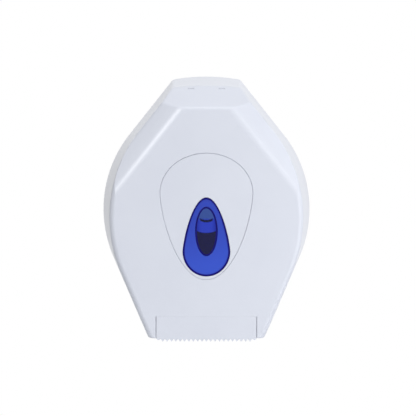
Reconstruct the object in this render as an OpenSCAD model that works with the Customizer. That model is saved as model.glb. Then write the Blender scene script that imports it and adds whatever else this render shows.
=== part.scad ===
// Jumbo toilet roll dispenser for a wall. A moulded plate carries a fixed
// spindle with a turning hub for the roll, and a locking cover swings down
// about two pins at its foot. Millimetres. +Z is up, the wall is the plane
// Y = 0, the front faces -Y, and the origin is on the spindle's axis.

/* [Cover form] */
// Depth of the cover from the wall to its front face
cover_depth = 128; // [122:1:140]
// Width across the widest point, at the wall
wall_w = 264; // [256:1:280]
// Width across the widest point, at the front face
front_w = 227; // [218:1:236]
// Lean of the shoulder walls from upright, degrees
shoulder_lean = 38.4; // [36:0.2:41]
// Distance of a shoulder wall from the spindle axis, at the wall
shoulder_wall = 136.5; // [134:0.5:139]
// Distance of a shoulder wall from the spindle axis, at the front
shoulder_front = 117.6; // [115:0.2:120]
// Lean of the jaw walls, below the widest point, from upright, degrees
jaw_lean = 23.3; // [21:0.1:26]
// Distance of a jaw wall from the spindle axis, at the wall
jaw_wall = 133.8; // [131:0.2:135]
// Distance of a jaw wall from the spindle axis, at the front
jaw_front = 122; // [119:0.5:125]
// Height of the roof's side corners above the spindle axis, at the wall
roof_corner = 165.5; // [162:0.5:172]
// Rise of the roof's arch above its corners, at the wall
roof_rise = 3.8; // [1:0.2:6]
// Rise of the arch where the roof meets the top facet
facet_rise = 2.4; // [0.6:0.2:4]
// Fall of the roof towards the front, degrees
roof_fall = 12.3; // [9:0.1:14]
// Height of the ridge under the top facet, on the front face
ridge_z = 118.5; // [116:0.5:122]
// Depth that the top facet takes up behind the front face
top_facet_depth = 38; // [34:1:44]
// Distance of the shoulder ridges from the spindle axis, on the front face
ridge_shoulder = 96.4; // [93:0.2:100]
// Depth that the shoulder facets take up behind the front face
shoulder_facet_depth = 10; // [9.5:0.5:14]
// Radius of the front edge along the sides and jaws
edge_r = 6; // [3:0.5:8]
// Distance of the cover's lower edge below the spindle axis
foot_drop = 152; // [150:1:160]
// Radius of the cover's two lower corners
foot_r = 4; // [2:0.5:5]
// Wall thickness of the cover
wall = 2.6; // [2.2:0.1:3.2]
// Gap between the cover's rear edge and the wall
rear_gap = 1; // [0.6:0.1:2]
// Thickness of the ribs inside the cover's front wall
cover_rib_t = 1.6; // [1.2:0.1:2]
// Height of those ribs
cover_rib_h = 4; // [2:0.5:5]
// Clearance of those ribs round the badge
cover_rib_clear = 10; // [7:0.5:12]

/* [Badge and window] */
// Width of the egg-shaped badge panel
badge_w = 109; // [100:1:116]
// Top of the badge panel above the spindle axis
badge_top = 65; // [60:1:70]
// Height of the badge panel's widest point
badge_mid = 18; // [10:1:25]
// Bottom of the badge panel below the spindle axis
badge_drop = 83.3; // [82:0.5:90]
// Thickness of the badge panel
badge_t = 1.5; // [1:0.1:1.8]
// Width of the teardrop window
window_w = 55.6; // [50:0.5:60]
// Top of the window above the spindle axis
window_top = 12.9; // [8:0.5:18]
// Height of the window's widest point below the spindle axis
window_mid = 50; // [45:1:55]
// Bottom of the window below the spindle axis
window_drop = 79.3; // [76:0.1:81]
// Width of the flange behind the window lens
lens_flange = 3; // [2:0.5:5]
// Thickness of the window lens and of the sight glass
lens_t = 2.4; // [1.6:0.1:3]
// Depth of the lens face below the badge face
lens_inset = 0.4; // [0.2:0.1:0.8]
// Width of the oval sight glass
sight_w = 25.8; // [20:0.5:30]
// Height of the oval sight glass
sight_h = 57.2; // [50:0.5:62]
// Centre of the sight glass below the spindle axis
sight_drop = 26.7; // [24:0.5:30]
// Gap round the badge, the lens and the sight glass
inlay_gap = 0.25; // [0.1:0.05:0.5]
// Radius of the badge's fixing posts
post_r = 1.6; // [1.2:0.1:2]
// Distance of the posts inside the badge's widest edge
post_inset = 14; // [11:0.5:18]
// Height of the upper pair of posts above the spindle axis
post_high = 38; // [30:1:42]
// Height of the lower pair of posts below the spindle axis
post_low = 22; // [10:1:26]
// Radius of the push-on nuts on the posts
nut_r = 4.4; // [3.6:0.1:5]

/* [Tear bar] */
// Width of the serrated tear bar
bar_w = 117.6; // [100:0.2:122]
// Height of the bar's face above the cover's lower edge
bar_h = 25; // [20:0.5:28]
// Gap between the bar and the slot that it fills
bar_gap = 0.6; // [0.3:0.1:1]
// Number of teeth
tooth_count = 23; // [12:1:30]
// Height of a tooth
tooth_h = 3; // [2:0.1:4]
// Height of the bar's mounting flange above its face
bar_flange_h = 14; // [10:0.5:18]
// Thickness of the bar's mounting flange
bar_flange_t = 2.2; // [1.6:0.1:3]

/* [Wall plate] */
// Thickness of the plate's sheet
plate_t = 3; // [2.4:0.1:4]
// Depth of the plate's rim
plate_rim = 13; // [9:0.5:15]
// Wall thickness of the rim and the ribs
rib_t = 2.4; // [1.6:0.1:3]
// Gap between the plate's rim and the cover's inside
plate_gap = 2.6; // [2.5:0.1:4]
// Height of the plate's ribs above its sheet
rib_h = 6; // [3:0.5:8]
// Distance between the wall screws, across and upright
fixing_pitch = 140; // [120:1:150]
// Radius of the wall screw holes
fixing_r = 3; // [2:0.1:3.5]
// Depth of the screw hole bosses from the wall
fixing_depth = 8; // [6:0.5:12]
// Radius of the raised seat for the spindle
seat_r = 36; // [33:1:44]
// Depth of the spindle's seat from the wall
seat_depth = 17; // [14:0.5:20]
// Number of ribs that run out from the spindle's seat
plate_ribs_n = 12; // [8:2:16]

/* [Roll hub] */
// Radius of the spindle
spindle_r = 12; // [10:0.5:14]
// Radius of the spindle's flange
spindle_flange_r = 30; // [27:0.5:33]
// Thickness of the spindle's flange
spindle_flange_t = 4; // [3:0.5:6]
// Running clearance of the hub on the spindle
run_gap = 0.06; // [0.03:0.01:0.09]
// Outer radius of the hub, inside the roll's card core
hub_r = 28; // [26.5:0.5:29.5]
// Radius of the disc behind the roll
disc_r = 46; // [40:1:55]
// Length of the hub in front of its disc
hub_len = 72; // [60:1:76]
// Wall thickness of the hub
hub_wall = 2.4; // [1.8:0.1:3]
// Thickness of the friction washer behind the hub
washer_t = 1.6; // [1:0.1:2.4]
// Gap between faces that slide on each other
face_gap = 0.3; // [0.2:0.05:0.5]
// Radius of the cap that keeps the hub on
cap_r = 19; // [17:0.5:22]
// Thickness of that cap
cap_t = 4; // [3:0.5:6]

/* [Hinge] */
// Radius of the hinge pins
pin_r = 2.5; // [2:0.1:3]
// Radius of the rounded heel of the cover round a pin
heel_r = 11.5; // [10:0.5:12]
// Height of the pins above the cover's lower edge
pin_rise = 11; // [10:0.5:13]
// Distance of the cover's hinge lug from the middle of the dispenser
lug_x = 67; // [62:0.5:70]
// Width of the plate's hinge lug
lug_w = 11; // [8:0.5:14]
// Radius of the hinge lugs
lug_r = 9; // [7:0.5:9.5]

/* [Lock] */
// Distance of the key slots behind the front face
slot_back = 33.4; // [33:0.2:37]
// Distance of a key slot from the middle of the dispenser
slot_x = 18.5; // [16:0.5:20]
// Length of a key slot
slot_w = 8; // [5:0.5:10]
// Width of a key slot
slot_t = 2.4; // [1.6:0.1:3]
// Travel of the latch slider
latch_travel = 5; // [4:0.5:6]
// Thickness of the catch arm
arm_t = 4; // [3:0.5:5]
// Width of the catch arm
arm_w = 22; // [16:1:22]
// Depth of the lip at the arm's end
lip_h = 7; // [6:0.5:8]
// Clearance between the latch slider and its housing
slide_gap = 0.35; // [0.25:0.05:0.5]
// Wall thickness of the lock housing
lock_wall = 2.5; // [2:0.1:3]
// Outer radius of the latch springs
spring_r = 3.4; // [2.6:0.1:3.6]
// Wire radius of the latch springs
spring_wire = 0.4; // [0.3:0.05:0.6]

/* [Screws] */
// Radius of a small screw's shank
screw_r = 1.5; // [1.2:0.1:1.8]
// Radius of a small screw's head
head_r = 3.2; // [2.6:0.1:3.6]
// Height of a small screw's head
head_h = 2; // [1.4:0.1:2.6]
// Length of a small screw's shank
screw_len = 9; // [8:0.5:10]
// Radius of a screw boss
boss_r = 4; // [3.4:0.1:4.6]
// Gap between a screw or post and the bore that it fills
fit_gap = 0.03; // [0.02:0.01:0.05]
// Gap between a screw or post and a hole that it passes through
hole_gap = 0.2; // [0.1:0.05:0.4]

/* [Hidden] */
$fn = 48;
shell_white = "#dde0e8";
plate_grey = "#c9ccd2";
hub_blue = "#2c3c78";
window_blue = "#3049b8";
steel = "#aab0b6";
dark = "#3a3d42";

// Steps along a side arc, along the roof's arch and round the front edge
arc_steps = 20;
roof_steps = 10;
edge_steps = 6;
foot_steps = 4;
eps = 0.02;

// Surfaces of the cover at a depth d from the wall, as distances from the axis
function mix(a, b, t) = a + (b - a) * t;
function slant(k) = sqrt(1 + k * k);
function side_s(d) = mix(wall_w, front_w, d / cover_depth) / 2;
function jaw_s(d) = mix(jaw_wall, jaw_front, d / cover_depth);
function shoulder_s(d) = mix(shoulder_wall, shoulder_front, d / cover_depth);
function roof_z(d) = roof_corner - d * tan(roof_fall);

// The top facet runs from the roof down to the ridge on the front face
facet_d = cover_depth - top_facet_depth;
facet_tan = (roof_z(facet_d) - ridge_z) / top_facet_depth;
function facet_z(d) = ridge_z + (cover_depth - d) * facet_tan;
function top_z(d, off) =
    min(roof_z(d) - off * slant(tan(roof_fall)), facet_z(d) - off * slant(facet_tan));
function arch(d) = d < facet_d ? mix(roof_rise, facet_rise, d / facet_d)
    : facet_rise * max(0, cover_depth - d) / top_facet_depth;

// The shoulder facets run from the shoulder walls to the ridges
cheek_d = cover_depth - shoulder_facet_depth;
cheek_tan = (shoulder_s(cheek_d) - ridge_shoulder) / shoulder_facet_depth;
function cheek_s(d, off) = ridge_shoulder + (cover_depth - d) * cheek_tan - off * slant(cheek_tan);

// How far the rounded front edge draws the sides and jaws in at a depth
function front_r(off) = max(edge_r - off, 0.5);
function edge_in(d, off) = let (r = front_r(off), x = d - (cover_depth - off - r))
    x <= 0 ? 0 : r - sqrt(max(0, r * r - x * x));

// Centre and radius of the side arc that touches side, shoulder and jaw
function side_arc(w, s, j) = let (
        a1 = cos(shoulder_lean) - 1, b1 = sin(shoulder_lean), e1 = s - w,
        a2 = cos(jaw_lean) - 1, b2 = -sin(jaw_lean), e2 = j - w,
        det = a1 * b2 - a2 * b1, cx = (e1 * b2 - e2 * b1) / det)
    [cx, (a1 * e2 - a2 * e1) / det, w - cx];

function jaw_x(s, z) = (s + z * sin(jaw_lean)) / cos(jaw_lean);
function shoulder_x(s, z) = (s - z * sin(shoulder_lean)) / cos(shoulder_lean);

// The rounded corner between the foot and a jaw wall at distance s
function foot_arc(s, foot) = [for (i = [0:foot_steps])
    let (a = mix(-90, -jaw_lean, i / foot_steps))
    [jaw_x(s - foot_r, foot + foot_r) + foot_r * cos(a), foot + foot_r + foot_r * sin(a)]];

// The right half of the outline at depth d, set in by off, from foot to shoulder
function right_side(d, off, foot) = let (
        e = off + edge_in(d, off), s0 = shoulder_s(d) - e, j = jaw_s(d) - e,
        c = side_arc(side_s(d) - e, s0, j), s = min(s0, cheek_s(d, off)),
        reach = (s - c[0] * cos(shoulder_lean) - c[1] * sin(shoulder_lean)) / c[2],
        last = shoulder_lean - acos(min(1, reach)))
    concat(foot_arc(j, foot), [for (i = [0:arc_steps])
        let (a = mix(-jaw_lean, last, i / arc_steps))
        [c[0] + c[2] * cos(a), c[1] + c[2] * sin(a)]]);

// The roof line at depth d, from the right corner to the left one
function roof_line(d, off) = let (
        z = top_z(d, off), e = off + edge_in(d, off),
        x = shoulder_x(min(shoulder_s(d) - e, cheek_s(d, off)), z))
    [for (i = [0:roof_steps]) let (t = 1 - 2 * i / roof_steps) [x * t, z + arch(d) * (1 - t * t)]];

function outline(d, off, foot) = let (r = right_side(d, off, foot))
    concat(r, roof_line(d, off), [for (i = [len(r) - 1:-1:0]) [-r[i][0], r[i][1]]]);

// Depths at which a skin bends: its start, the two creases and the front edge
function roof_crease(off) = let (rt = tan(roof_fall))
    (ridge_z + cover_depth * facet_tan - roof_corner + off * (slant(rt) - slant(facet_tan)))
    / (facet_tan - rt);
function cheek_crease(off) = let (m = (shoulder_front - shoulder_wall) / cover_depth)
    (ridge_shoulder + cover_depth * cheek_tan - shoulder_wall + off * (1 - slant(cheek_tan)))
    / (m + cheek_tan);
function bends(off, start) = let (r = front_r(off))
    concat([start, roof_crease(off), cheek_crease(off)],
        [for (i = [0:edge_steps]) cover_depth - off - r + r * sin(90 * i / edge_steps)]);

// A solid skinned over the outlines at those depths
module skin(off, start, foot) {
    depths = bends(off, start);
    n = len(outline(start, off, foot));
    top = len(depths) - 1;
    polyhedron(
        points = [for (d = depths) for (p = outline(d, off, foot)) [p[0], -d, p[1]]],
        faces = concat(
            [[for (i = [0:n - 1]) i], [for (i = [n - 1:-1:0]) top * n + i]],
            [for (k = [0:top - 1]) for (i = [0:n - 1])
                [k * n + i, (k + 1) * n + i, (k + 1) * n + (i + 1) % n]],
            [for (k = [0:top - 1]) for (i = [0:n - 1])
                [k * n + i, (k + 1) * n + (i + 1) % n, k * n + (i + 1) % n]]));
}

// Places a child drawn in X and Z, so that it runs forward from depth d
module at_depth(d) {
    translate([0, -d, 0]) rotate([90, 0, 0]) children();
}

// A round bar along Y at x, z, from depth d to depth d + len
module bar(x, z, d, len, r) {
    translate([x, -d, z]) rotate([90, 0, 0]) cylinder(r = r, h = len);
}

// A box given by its x, depth and z limits
module block(x0, x1, d0, d1, z0, z1) {
    translate([x0, -d1, z0]) cube([x1 - x0, d1 - d0, z1 - z0]);
}

module both_sides() {
    children();
    mirror([1, 0, 0]) children();
}

// Drop outline: half widths fall off from the widest height towards each tip
function tip(s) = 1 - (1 - s) * (1 - s);
function drop(w, top, mid, bottom, up, down, steps = 12) = let (
        a = w / 2,
        upper = [for (i = [0:steps]) let (u = tip(i / steps))
            [a * sqrt(max(0, 1 - pow(u, up))), mid + (top - mid) * u]],
        lower = [for (i = [steps:-1:1]) let (u = tip(i / steps))
            [a * sqrt(max(0, 1 - pow(u, down))), mid - (mid - bottom) * u]],
        right = concat(lower, upper))
    concat(right, [for (i = [len(right) - 2:-1:1]) [-right[i][0], right[i][1]]]);

module badge_shape(grow) {
    polygon(drop(badge_w + 2 * grow, badge_top + grow, badge_mid, -badge_drop - grow, 2, 1.5));
}

module window_shape(grow) {
    polygon(drop(window_w + 2 * grow, window_top + grow, -window_mid, -window_drop - grow, 1.3, 2));
}

module sight_shape(grow) {
    polygon(drop(sight_w + 2 * grow, -sight_drop + sight_h / 2 + grow, -sight_drop,
        -sight_drop - sight_h / 2 - grow, 2, 2));
}

// Hinge axis
hinge_d = heel_r + rear_gap + 0.5;
hinge_z = pin_rise - foot_drop;
module hinge_bar(x0, x1, r) {
    translate([x0, -hinge_d, hinge_z]) rotate([0, 90, 0]) cylinder(r = r, h = x1 - x0);
}

// Stations along the spindle, as depths from the wall
washer_d = seat_depth + spindle_flange_t;
disc_d = washer_d + washer_t + face_gap;
disc_t = 3;
hub_end = disc_d + disc_t + hub_len;
cap_d = hub_end + face_gap;
cap_screw_len = 12;
low_head_h = 1.4;
head_track = 0.6;
fingers = 6;

// Lock levels, hung from the underside of the top facet
slot_d = cover_depth - slot_back;
pad_len = 14;
pad_front = slot_d + 4;
pad_rear = pad_front - pad_len;
lock_top = top_z(pad_front + lock_wall, wall) - 1;
stop_z = lock_top - lock_wall;
pad_top = stop_z - 0.5 - latch_travel;
arm_top = stop_z - 0.2;
lip_z = arm_top - arm_t - lip_h;
tongue_z = lip_z - 0.6;
tongue_gap = 0.9;
bridge_z = lip_z - latch_travel - 1;
bridge_t = 4;
slider_z = bridge_z - bridge_t;
spring_len = 8;
floor_z = slider_z - spring_len;
lip_rear = pad_rear + 4.5;
lip_front = lip_rear + 3.5;
pillar_x = arm_w / 2 + 2.5;
slider_x = slot_x + 5;
cheek_x = slider_x + slide_gap;
flange_d = cover_depth - wall - 12;
boss_z = floor_z + 7;
boss_x = slider_x - 1;

// Posts that hold the badge, and the screws of the tear bar
post_places = [for (x = [-1, 1], z = [post_high, -post_low]) [x * (badge_w / 2 - post_inset), z]];
post_len = 4;
nut_t = 0.6;
nut_collar_t = 1.4;
nut_collar_r = post_r + 1;
bar_top = bar_h - foot_drop;
bar_screw_z = bar_top + bar_flange_h / 2;
bar_screw_inset = 12;
bar_screw_xs = [-bar_w / 2 + bar_screw_inset, 0, bar_w / 2 - bar_screw_inset];
bar_washer_t = 0.8;
end_tooth = 0.5;
bar_bore = bar_flange_t + wall - 0.7;
inside_d = cover_depth - wall;

// --- Cover -----------------------------------------------------------

// Lug that carries the cover on a hinge pin, run out to the jaw wall
module cover_lug() {
    out = wall / 2;
    mid = jaw_s(hinge_d) - out;
    intersection() {
        hinge_bar(lug_x, wall_w / 2, lug_r);
        at_depth(hinge_d - lug_r - 1) linear_extrude(2 * lug_r + 2) polygon([
            [lug_x, hinge_z - lug_r], [jaw_x(mid, hinge_z - lug_r), hinge_z - lug_r],
            [jaw_x(mid, hinge_z + lug_r), hinge_z + lug_r], [lug_x, hinge_z + lug_r]]);
    }
}

// Waste behind the hinge axis, outside the heel's radius
module heel_cut() {
    difference() {
        block(0, wall_w, -1, hinge_d, -foot_drop - 1, hinge_z);
        hinge_bar(-1, wall_w + 1, heel_r);
    }
}

// Ribs that stiffen the inside of the front wall
module front_ribs() {
    root = inside_d + wall / 2;
    crest = inside_d - cover_rib_h;
    low = -badge_drop - cover_rib_clear;
    high = badge_top + 2 * cover_rib_clear;
    reach = badge_w / 2 + 2 * cover_rib_clear;
    for (z = [high, low]) {
        half = min(reach, shoulder_x(ridge_shoulder, z) - 3);
        block(-half, half, crest, root, z - cover_rib_t / 2, z + cover_rib_t / 2);
    }
    both_sides() for (x = [reach - cover_rib_clear, reach])
        block(x - cover_rib_t / 2, x + cover_rib_t / 2, crest, root, low, badge_mid + 6);
}

module cover() {
    color(shell_white) difference() {
        union() {
            difference() {
                skin(0, rear_gap, -foot_drop);
                skin(wall, -1, -foot_drop - 20);
            }
            both_sides() cover_lug();
            front_ribs();
            for (x = [-boss_x, boss_x])
                bar(x, boss_z, flange_d, cover_depth - 1 - flange_d, boss_r);
            for (x = bar_screw_xs)
                bar(x, bar_screw_z, inside_d - bar_flange_t, bar_flange_t + wall / 2, boss_r);
        }
        both_sides() {
            heel_cut();
            hinge_bar(lug_x - 1, lug_x + 12, pin_r + run_gap);
        }
        at_depth(cover_depth - badge_t) linear_extrude(badge_t + 1) badge_shape(inlay_gap);
        at_depth(inside_d - 1) linear_extrude(wall + 2) window_shape(inlay_gap);
        for (p = post_places)
            bar(p[0], p[1], inside_d - 1, wall + 1, post_r + hole_gap);
        for (x = [-slot_x, slot_x])
            block(x - slot_w / 2, x + slot_w / 2, slot_d - slot_t / 2, slot_d + slot_t / 2,
                lock_top, roof_corner + roof_rise);
        block(-bar_w / 2 - bar_gap, bar_w / 2 + bar_gap, inside_d - 1, cover_depth + 1,
            -foot_drop - 1, bar_top + bar_gap);
        for (x = [-boss_x, boss_x])
            bar(x, boss_z, flange_d - 1, screw_len, screw_r);
        for (x = bar_screw_xs)
            bar(x, bar_screw_z, inside_d - bar_flange_t - 1, bar_bore + 1, screw_r);
    }
}

// Flush inlay with its posts, open for the window
module badge_panel() {
    color(shell_white) difference() {
        union() {
            at_depth(cover_depth - badge_t) linear_extrude(badge_t) badge_shape(0);
            for (p = post_places)
                bar(p[0], p[1], inside_d - post_len, wall + post_len - badge_t / 2, post_r);
        }
        at_depth(inside_d) linear_extrude(wall + 1) window_shape(inlay_gap);
    }
}

// Push-on nuts behind the badge's posts
module badge_nuts() {
    color(steel) for (p = post_places)
        difference() {
            union() {
                bar(p[0], p[1], inside_d - nut_t, nut_t, nut_r);
                bar(p[0], p[1], inside_d - nut_collar_t, nut_collar_t, nut_collar_r);
            }
            bar(p[0], p[1], inside_d - post_len, post_len + 1, post_r + fit_gap);
        }
}

// Tinted teardrop lens with the flange that seats it from inside
module window_lens() {
    front = cover_depth - lens_inset;
    color(window_blue) difference() {
        union() {
            at_depth(inside_d - lens_t) linear_extrude(front - inside_d + lens_t) window_shape(0);
            at_depth(inside_d - lens_t) linear_extrude(lens_t) window_shape(lens_flange);
        }
        at_depth(inside_d - lens_t - 1) linear_extrude(wall + lens_t + 2) sight_shape(inlay_gap);
    }
}

// Clear oval glass through which the roll shows
module sight_glass() {
    front = cover_depth - lens_inset;
    color("#8fa3cc") union() {
        at_depth(inside_d - lens_t) linear_extrude(front - inside_d + lens_t) sight_shape(0);
        at_depth(inside_d - 2 * lens_t + 0.8) linear_extrude(lens_t - 0.8) sight_shape(2.4);
    }
}

// Serrated edge under the front wall, seated from inside on three bosses
module tear_bar() {
    pitch = bar_w / tooth_count;
    flange_x = bar_w / 2 + 5;
    foot_x = bar_w / 2 + bar_gap + 1.2;
    color(shell_white) difference() {
        union() {
            at_depth(inside_d) linear_extrude(wall) polygon(concat(
                [[bar_w / 2, bar_top], [-bar_w / 2, bar_top]],
                [for (i = [0:tooth_count - 1]) each [
                    [-bar_w / 2 + i * pitch, -foot_drop - 1],
                    [-bar_w / 2 + (i + 0.5) * pitch, -foot_drop - 1
                        - tooth_h * (i == 0 || i == tooth_count - 1 ? end_tooth : 1)]]],
                [[bar_w / 2, -foot_drop - 1]]));
            at_depth(inside_d - bar_flange_t) linear_extrude(bar_flange_t) polygon([
                [-foot_x, -foot_drop], [foot_x, -foot_drop], [flange_x, bar_top - 8],
                [flange_x, bar_top + bar_flange_h], [-flange_x, bar_top + bar_flange_h],
                [-flange_x, bar_top - 8]]);
        }
        for (x = bar_screw_xs)
            bar(x, bar_screw_z, inside_d - bar_flange_t - 1, bar_flange_t + 2, boss_r + hole_gap);
    }
}

// A pan-head screw along Y, its head behind depth d and its shank in front
module screw(x, z, d, len) {
    bar(x, z, d - head_h, head_h, head_r);
    bar(x, z, d - eps, len + eps, screw_r - fit_gap);
}

module tear_bar_screws() {
    d = inside_d - bar_flange_t - bar_washer_t;
    color(steel) for (x = bar_screw_xs) {
        bar(x, bar_screw_z, d, bar_washer_t, boss_r + 1.6);
        screw(x, bar_screw_z, d, bar_washer_t + bar_bore - 0.2);
    }
}

// --- Wall plate ------------------------------------------------------

plate_foot = hinge_z + heel_r + 1.2;
plate_off = wall + plate_gap;
module plate_outline(grow) {
    polygon(outline(plate_rim, plate_off - grow, plate_foot - grow));
}

fixing_places = [for (x = [-1, 1], z = [-1, 1]) [x, z] * fixing_pitch / 2];
seat_wall = 4;
spigot_r = 4.8;
spigot_len = 3;
spindle_screw_r = (spindle_flange_r + spindle_r) / 2;
spindle_screw_as = [90, 210, 330];
catch_screw_x = arm_w / 2 + 9;
catch_z = arm_top - 12;
catch_foot_t = 3;
brace_h = 11;
catch_pad_r = 7;
catch_d = plate_t + rib_h;
fixing_boss_r = fixing_r + 8;
fixing_seat_t = 3;

module plate_lug() {
    x0 = lug_x - face_gap - lug_w;
    hinge_bar(x0, x0 + lug_w, lug_r - 1);
    block(x0, x0 + lug_w, 0, plate_rim, hinge_z, plate_foot + 4);
}

module plate_ribs() {
    ring_r = fixing_pitch / 2 + 8;
    intersection() {
        at_depth(0) linear_extrude(plate_t + rib_h) plate_outline(-1);
        at_depth(plate_t / 2) linear_extrude(plate_t / 2 + rib_h) {
            difference() {
                circle(r = ring_r);
                circle(r = ring_r - rib_t);
            }
            for (a = [0:360 / plate_ribs_n:359])
                rotate(a) translate([seat_r - 2, -rib_t / 2]) square([wall_w, rib_t]);
        }
    }
}

module back_plate() {
    color(plate_grey) difference() {
        union() {
            at_depth(0) linear_extrude(plate_t) plate_outline(0);
            difference() {
                at_depth(0) linear_extrude(plate_rim) plate_outline(0);
                at_depth(plate_t) linear_extrude(plate_rim) plate_outline(-rib_t);
            }
            plate_ribs();
            bar(0, 0, 0, seat_depth, seat_r);
            for (p = fixing_places) bar(p[0], p[1], 0, fixing_depth, fixing_boss_r);
            for (x = [-catch_screw_x, catch_screw_x]) bar(x, catch_z, 0, catch_d, catch_pad_r);
            both_sides() plate_lug();
        }
        for (p = fixing_places) {
            bar(p[0], p[1], -1, fixing_depth + 2, fixing_r);
            bar(p[0], p[1], fixing_seat_t, fixing_depth, 2 * fixing_r);
        }
        // The spindle's seat is hollow from behind, with three screw bores
        bar(0, 0, -1, seat_depth - seat_wall + 1, seat_r - rib_t - 1);
        bar(0, 0, -1, seat_depth + 2, spigot_r + hole_gap);
        for (a = spindle_screw_as)
            bar(spindle_screw_r * cos(a), spindle_screw_r * sin(a), -1, seat_depth + 2, screw_r);
        for (x = [-catch_screw_x, catch_screw_x])
            bar(x, catch_z, catch_d + catch_foot_t - screw_len - 0.5, screw_len, screw_r);
        both_sides() hinge_bar(lug_x - face_gap - lug_w - 1, lug_x, pin_r + fit_gap);
    }
}

// A headed steel pin through a plate lug into a cover lug
module hinge_pin_right() {
    x0 = lug_x - face_gap - lug_w;
    color(steel) union() {
        hinge_bar(x0 - 2, x0, pin_r + 1.6);
        hinge_bar(x0 - 1, lug_x + 10, pin_r);
    }
}

module hinge_pin_left() {
    mirror([1, 0, 0]) hinge_pin_right();
}

// Hooked arm that reaches forward over the roll to the lock
module catch_arm() {
    half = arm_w / 2;
    wing = catch_screw_x + catch_pad_r;
    under = arm_top - arm_t;
    color(plate_grey) difference() {
        union() {
            block(-wing, wing, catch_d, catch_d + catch_foot_t, catch_z - catch_pad_r, arm_top);
            block(-half, half, catch_d, lip_front, under, arm_top);
            block(-half, half, lip_rear, lip_front, lip_z, arm_top);
            for (x = [-half, half - rib_t]) translate([x, 0, 0]) rotate([90, 0, 90])
                linear_extrude(rib_t) polygon([
                    [-catch_d, under], [-catch_d, under - brace_h],
                    [-catch_d - 2 * brace_h, under - brace_h / 2],
                    [-pad_rear + 6, under - 2], [-pad_rear + 3, under]]);
        }
        for (x = [-catch_screw_x, catch_screw_x])
            bar(x, catch_z, catch_d - 1, catch_foot_t + 2, screw_r + hole_gap);
    }
}

module catch_screws() {
    d = catch_d + catch_foot_t;
    color(steel) for (x = [-catch_screw_x, catch_screw_x]) {
        bar(x, catch_z, d, head_h, head_r);
        bar(x, catch_z, d - screw_len, screw_len + eps, screw_r - fit_gap);
    }
}

// --- Spindle and hub -------------------------------------------------

module spindle() {
    color(plate_grey) difference() {
        union() {
            bar(0, 0, seat_depth, spindle_flange_t, spindle_flange_r);
            bar(0, 0, seat_depth - spigot_len, spigot_len + 1, spigot_r);
            bar(0, 0, seat_depth, cap_d - seat_depth, spindle_r);
        }
        for (a = spindle_screw_as)
            bar(spindle_screw_r * cos(a), spindle_screw_r * sin(a), seat_depth - 1,
                spindle_flange_t + 2, screw_r + hole_gap);
        bar(0, 0, cap_d - cap_screw_len - 1, cap_screw_len + 2, screw_r);
    }
}

module spindle_screws() {
    d = seat_depth + spindle_flange_t;
    len = spindle_flange_t + seat_wall - 0.5;
    color(steel) for (a = spindle_screw_as) {
        x = spindle_screw_r * cos(a);
        z = spindle_screw_r * sin(a);
        bar(x, z, d, low_head_h, head_r);
        bar(x, z, d - len, len + eps, screw_r - fit_gap);
    }
}

// Felt ring that brakes the hub, inside the ring of screw heads
module friction_washer() {
    color(dark) difference() {
        bar(0, 0, washer_d, washer_t, spindle_screw_r - head_r - 0.6);
        bar(0, 0, washer_d - 1, washer_t + 2, spindle_r + 0.1);
    }
}

// Hub with a disc behind the roll and six sprung fingers for its card core
module roll_hub() {
    inner_r = spindle_r + run_gap;
    sleeve_r = inner_r + hub_wall;
    barrel_d = disc_d + disc_t;
    slot_len = hub_len / 3;
    slot_gap = 3;
    web_t = hub_wall;
    color(hub_blue) difference() {
        union() {
            bar(0, 0, disc_d, disc_t, disc_r);
            difference() {
                bar(0, 0, disc_d, hub_end - disc_d, hub_r);
                bar(0, 0, barrel_d, hub_end - barrel_d + 1, hub_r - hub_wall);
            }
            bar(0, 0, disc_d, hub_end - disc_d, sleeve_r);
            for (i = [0:fingers - 1])
                at_depth(disc_d) linear_extrude(hub_end - disc_d - web_t) rotate(i * 360 / fingers)
                    translate([inner_r + 1, -web_t / 2]) square([hub_r - inner_r - 2, web_t]);
        }
        bar(0, 0, disc_d - 1, hub_end - disc_d + 2, inner_r);
        // Room for the spindle's screw heads behind the disc
        difference() {
            bar(0, 0, disc_d - 1, head_track + 1, spindle_screw_r + head_r + 0.6);
            bar(0, 0, disc_d - 2, head_track + 3, spindle_screw_r - head_r - 0.6);
        }
        for (i = [0:fingers - 1])
            at_depth(hub_end - slot_len) linear_extrude(slot_len + 1)
                rotate((i + 0.5) * 360 / fingers)
                    translate([hub_r - hub_wall - 1, -slot_gap / 2])
                        square([hub_wall + 3, slot_gap]);
        for (i = [0:fingers - 1])
            at_depth(disc_d - 1) linear_extrude(disc_t + 2) rotate((i + 0.5) * 360 / fingers)
                translate([hub_r + (disc_r - hub_r) / 2, 0]) circle(r = (disc_r - hub_r) / 4);
    }
}

module spindle_cap() {
    color(shell_white) difference() {
        union() {
            bar(0, 0, cap_d, cap_t / 2, cap_r);
            translate([0, -cap_d - cap_t / 2, 0]) rotate([90, 0, 0])
                cylinder(r1 = cap_r, r2 = cap_r - cap_t / 2, h = cap_t / 2);
        }
        bar(0, 0, cap_d - 1, cap_t + 2, screw_r + hole_gap);
    }
}

module cap_screw() {
    color(steel) union() {
        bar(0, 0, cap_d + cap_t, head_h, head_r);
        bar(0, 0, cap_d - cap_screw_len, cap_t + cap_screw_len + eps, screw_r - fit_gap);
    }
}

// --- Lock ------------------------------------------------------------

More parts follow.
